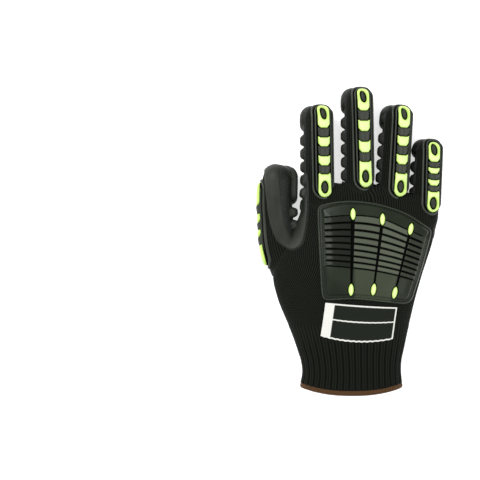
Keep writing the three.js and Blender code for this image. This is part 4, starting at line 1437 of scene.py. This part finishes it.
# %% Patch
patch_width, patch_height = 58.0, 27.0
patch_turn, patch_shear = -3.3, 0.075
patch_middle = (0.048, 0.359)  # shares of the hand's width and length
U, V = np.meshgrid(np.linspace(-1, 1, 117), np.linspace(-1, 1, 55))
lowness = 0.5 - 0.5 * V
bow = (0.5 + 3.2 * lowness) * (1 - U**2) + 0.18 * np.cos(U * 42) * lowness
turn = math.radians(patch_turn)
py = V * patch_height / 2 * (1 - 0.025 * U) - bow
px = U * patch_width / 2 + patch_shear * py
x = patch_middle[0] * hand_width + px * math.cos(turn) - py * math.sin(turn)
distance = patch_middle[1] * hand_length + px * math.sin(turn) + py * math.cos(turn)
patch_rise = 1.15 + 0.12 * np.sin(U * 9 + 1.0) * np.cos(V * 3)
patch = grid_object("woven_patch", hand_point(distance, back_angle(distance, x), patch_rise))
note(patch, "across", U * patch_width / 2)
note(patch, "up", V * patch_height / 2)

# %% [markdown]
# The weave is a fine check of warp and weft. The frame, band and divider are woven in pale thread, and
# are measured in millimetres from the patch's own edges.

# %% Patch material
patch_shader = Shader("woven patch", Roughness=0.75, Specular_IOR_Level=0.1)
across_mm, up_mm = patch_shader.vertex("across"), patch_shader.vertex("up")
from_side = patch_width / 2 - abs(across_mm)
from_end = patch_height / 2 - abs(up_mm)
frame_line = from_side.math("MINIMUM", from_end).above(0.9, 1.3) * -1.0 + 1.0
left_band = (across_mm + (patch_width / 2 - 7.6)).above(-0.2, 0.2) * -1.0 + 1.0
divider = abs(up_mm - 1.2).above(0.35, 0.6) * -1.0 + 1.0
pale = frame_line.math("MAXIMUM", left_band).math("MAXIMUM", divider)
warp, weft = (across_mm * (2 * math.pi / 0.55)).cosine(), (up_mm * (2 * math.pi / 0.45)).cosine()
weave = warp * weft * 0.5 + 0.5
ground = weave.mix(colour(16, 19, 15), colour(31, 36, 29))
thread = weave.mix(colour(196, 196, 188), colour(232, 232, 226))
patch_shader.set("Base Color", pale.mix(ground, thread))
patch_shader.bump(weave, 0.0001, 0.8)
finish_piece(patch, patch_shader.material, "label_patch", slot="label_print")

# %% [markdown]
# ## Table, light and camera
#
# The glove is seen from straight above, as a flat product shot. A large soft key light from the upper
# left, a weaker fill and a pale surround give soft highlights on the rubber and keep the black knit
# readable.

# %% Stage
table_mesh = bpy.data.meshes.new("table")
half_table = 3.0
table_corners = [(x * half_table, y * half_table, 0) for x, y in ((-1, -1), (1, -1), (1, 1), (-1, 1))]
table_mesh.from_pydata(table_corners, [], [(0, 1, 2, 3)])
table = bpy.data.objects.new("table", table_mesh)
table.location.z = -0.0002
bpy.context.scene.collection.objects.link(table)
table_shader = Shader("light table", Base_Color=(0.9, 0.9, 0.9, 1.0), Roughness=0.7)
table_shader.surface.inputs["Emission Color"].default_value = (1.0, 1.0, 1.0, 1.0)
table_shader.surface.inputs["Emission Strength"].default_value = 0.6
table_mesh.materials.append(table_shader.material)

world = bpy.data.worlds.new("surround")
bpy.context.scene.world = world
world.use_nodes = True
background = world.node_tree.nodes["Background"]
background.inputs["Color"].default_value = (1.0, 1.0, 1.0, 1.0)
background.inputs["Strength"].default_value = 0.95


def soft_light(name, location, size, power, target=(0, 0, 0)):
    data = bpy.data.lights.new(name, "AREA")
    data.energy, data.shape, data.size = power, "SQUARE", size
    lamp = bpy.data.objects.new(name, data)
    lamp.location = location
    lamp.rotation_euler = (Vector(target) - Vector(location)).to_track_quat("-Z", "Y").to_euler()
    bpy.context.scene.collection.objects.link(lamp)


soft_light("key", (-0.9, 0.9, 1.3), 0.7, 18)
soft_light("fill", (1.1, -0.3, 1.2), 0.9, 7)
bpy.context.scene.view_settings.view_transform = "Standard"

# %% [markdown]
# The camera looks straight down. Its lens is worked out from the width that it has to show at the
# height of the glove's back.

# %% Camera
camera = bpy.data.cameras.new("camera")
camera.sensor_width = 36
view_width = 0.3964
view_middle = np.array([-92.24, 128.58])
camera_height = 2.4
subject_height = 0.025
camera.lens = camera.sensor_width * (camera_height - subject_height) / view_width
eye = bpy.data.objects.new("camera", camera)
eye.location = (*((view_middle + row_shift[:2]) / 1000), camera_height)
bpy.context.scene.collection.objects.link(eye)
bpy.context.scene.camera = eye
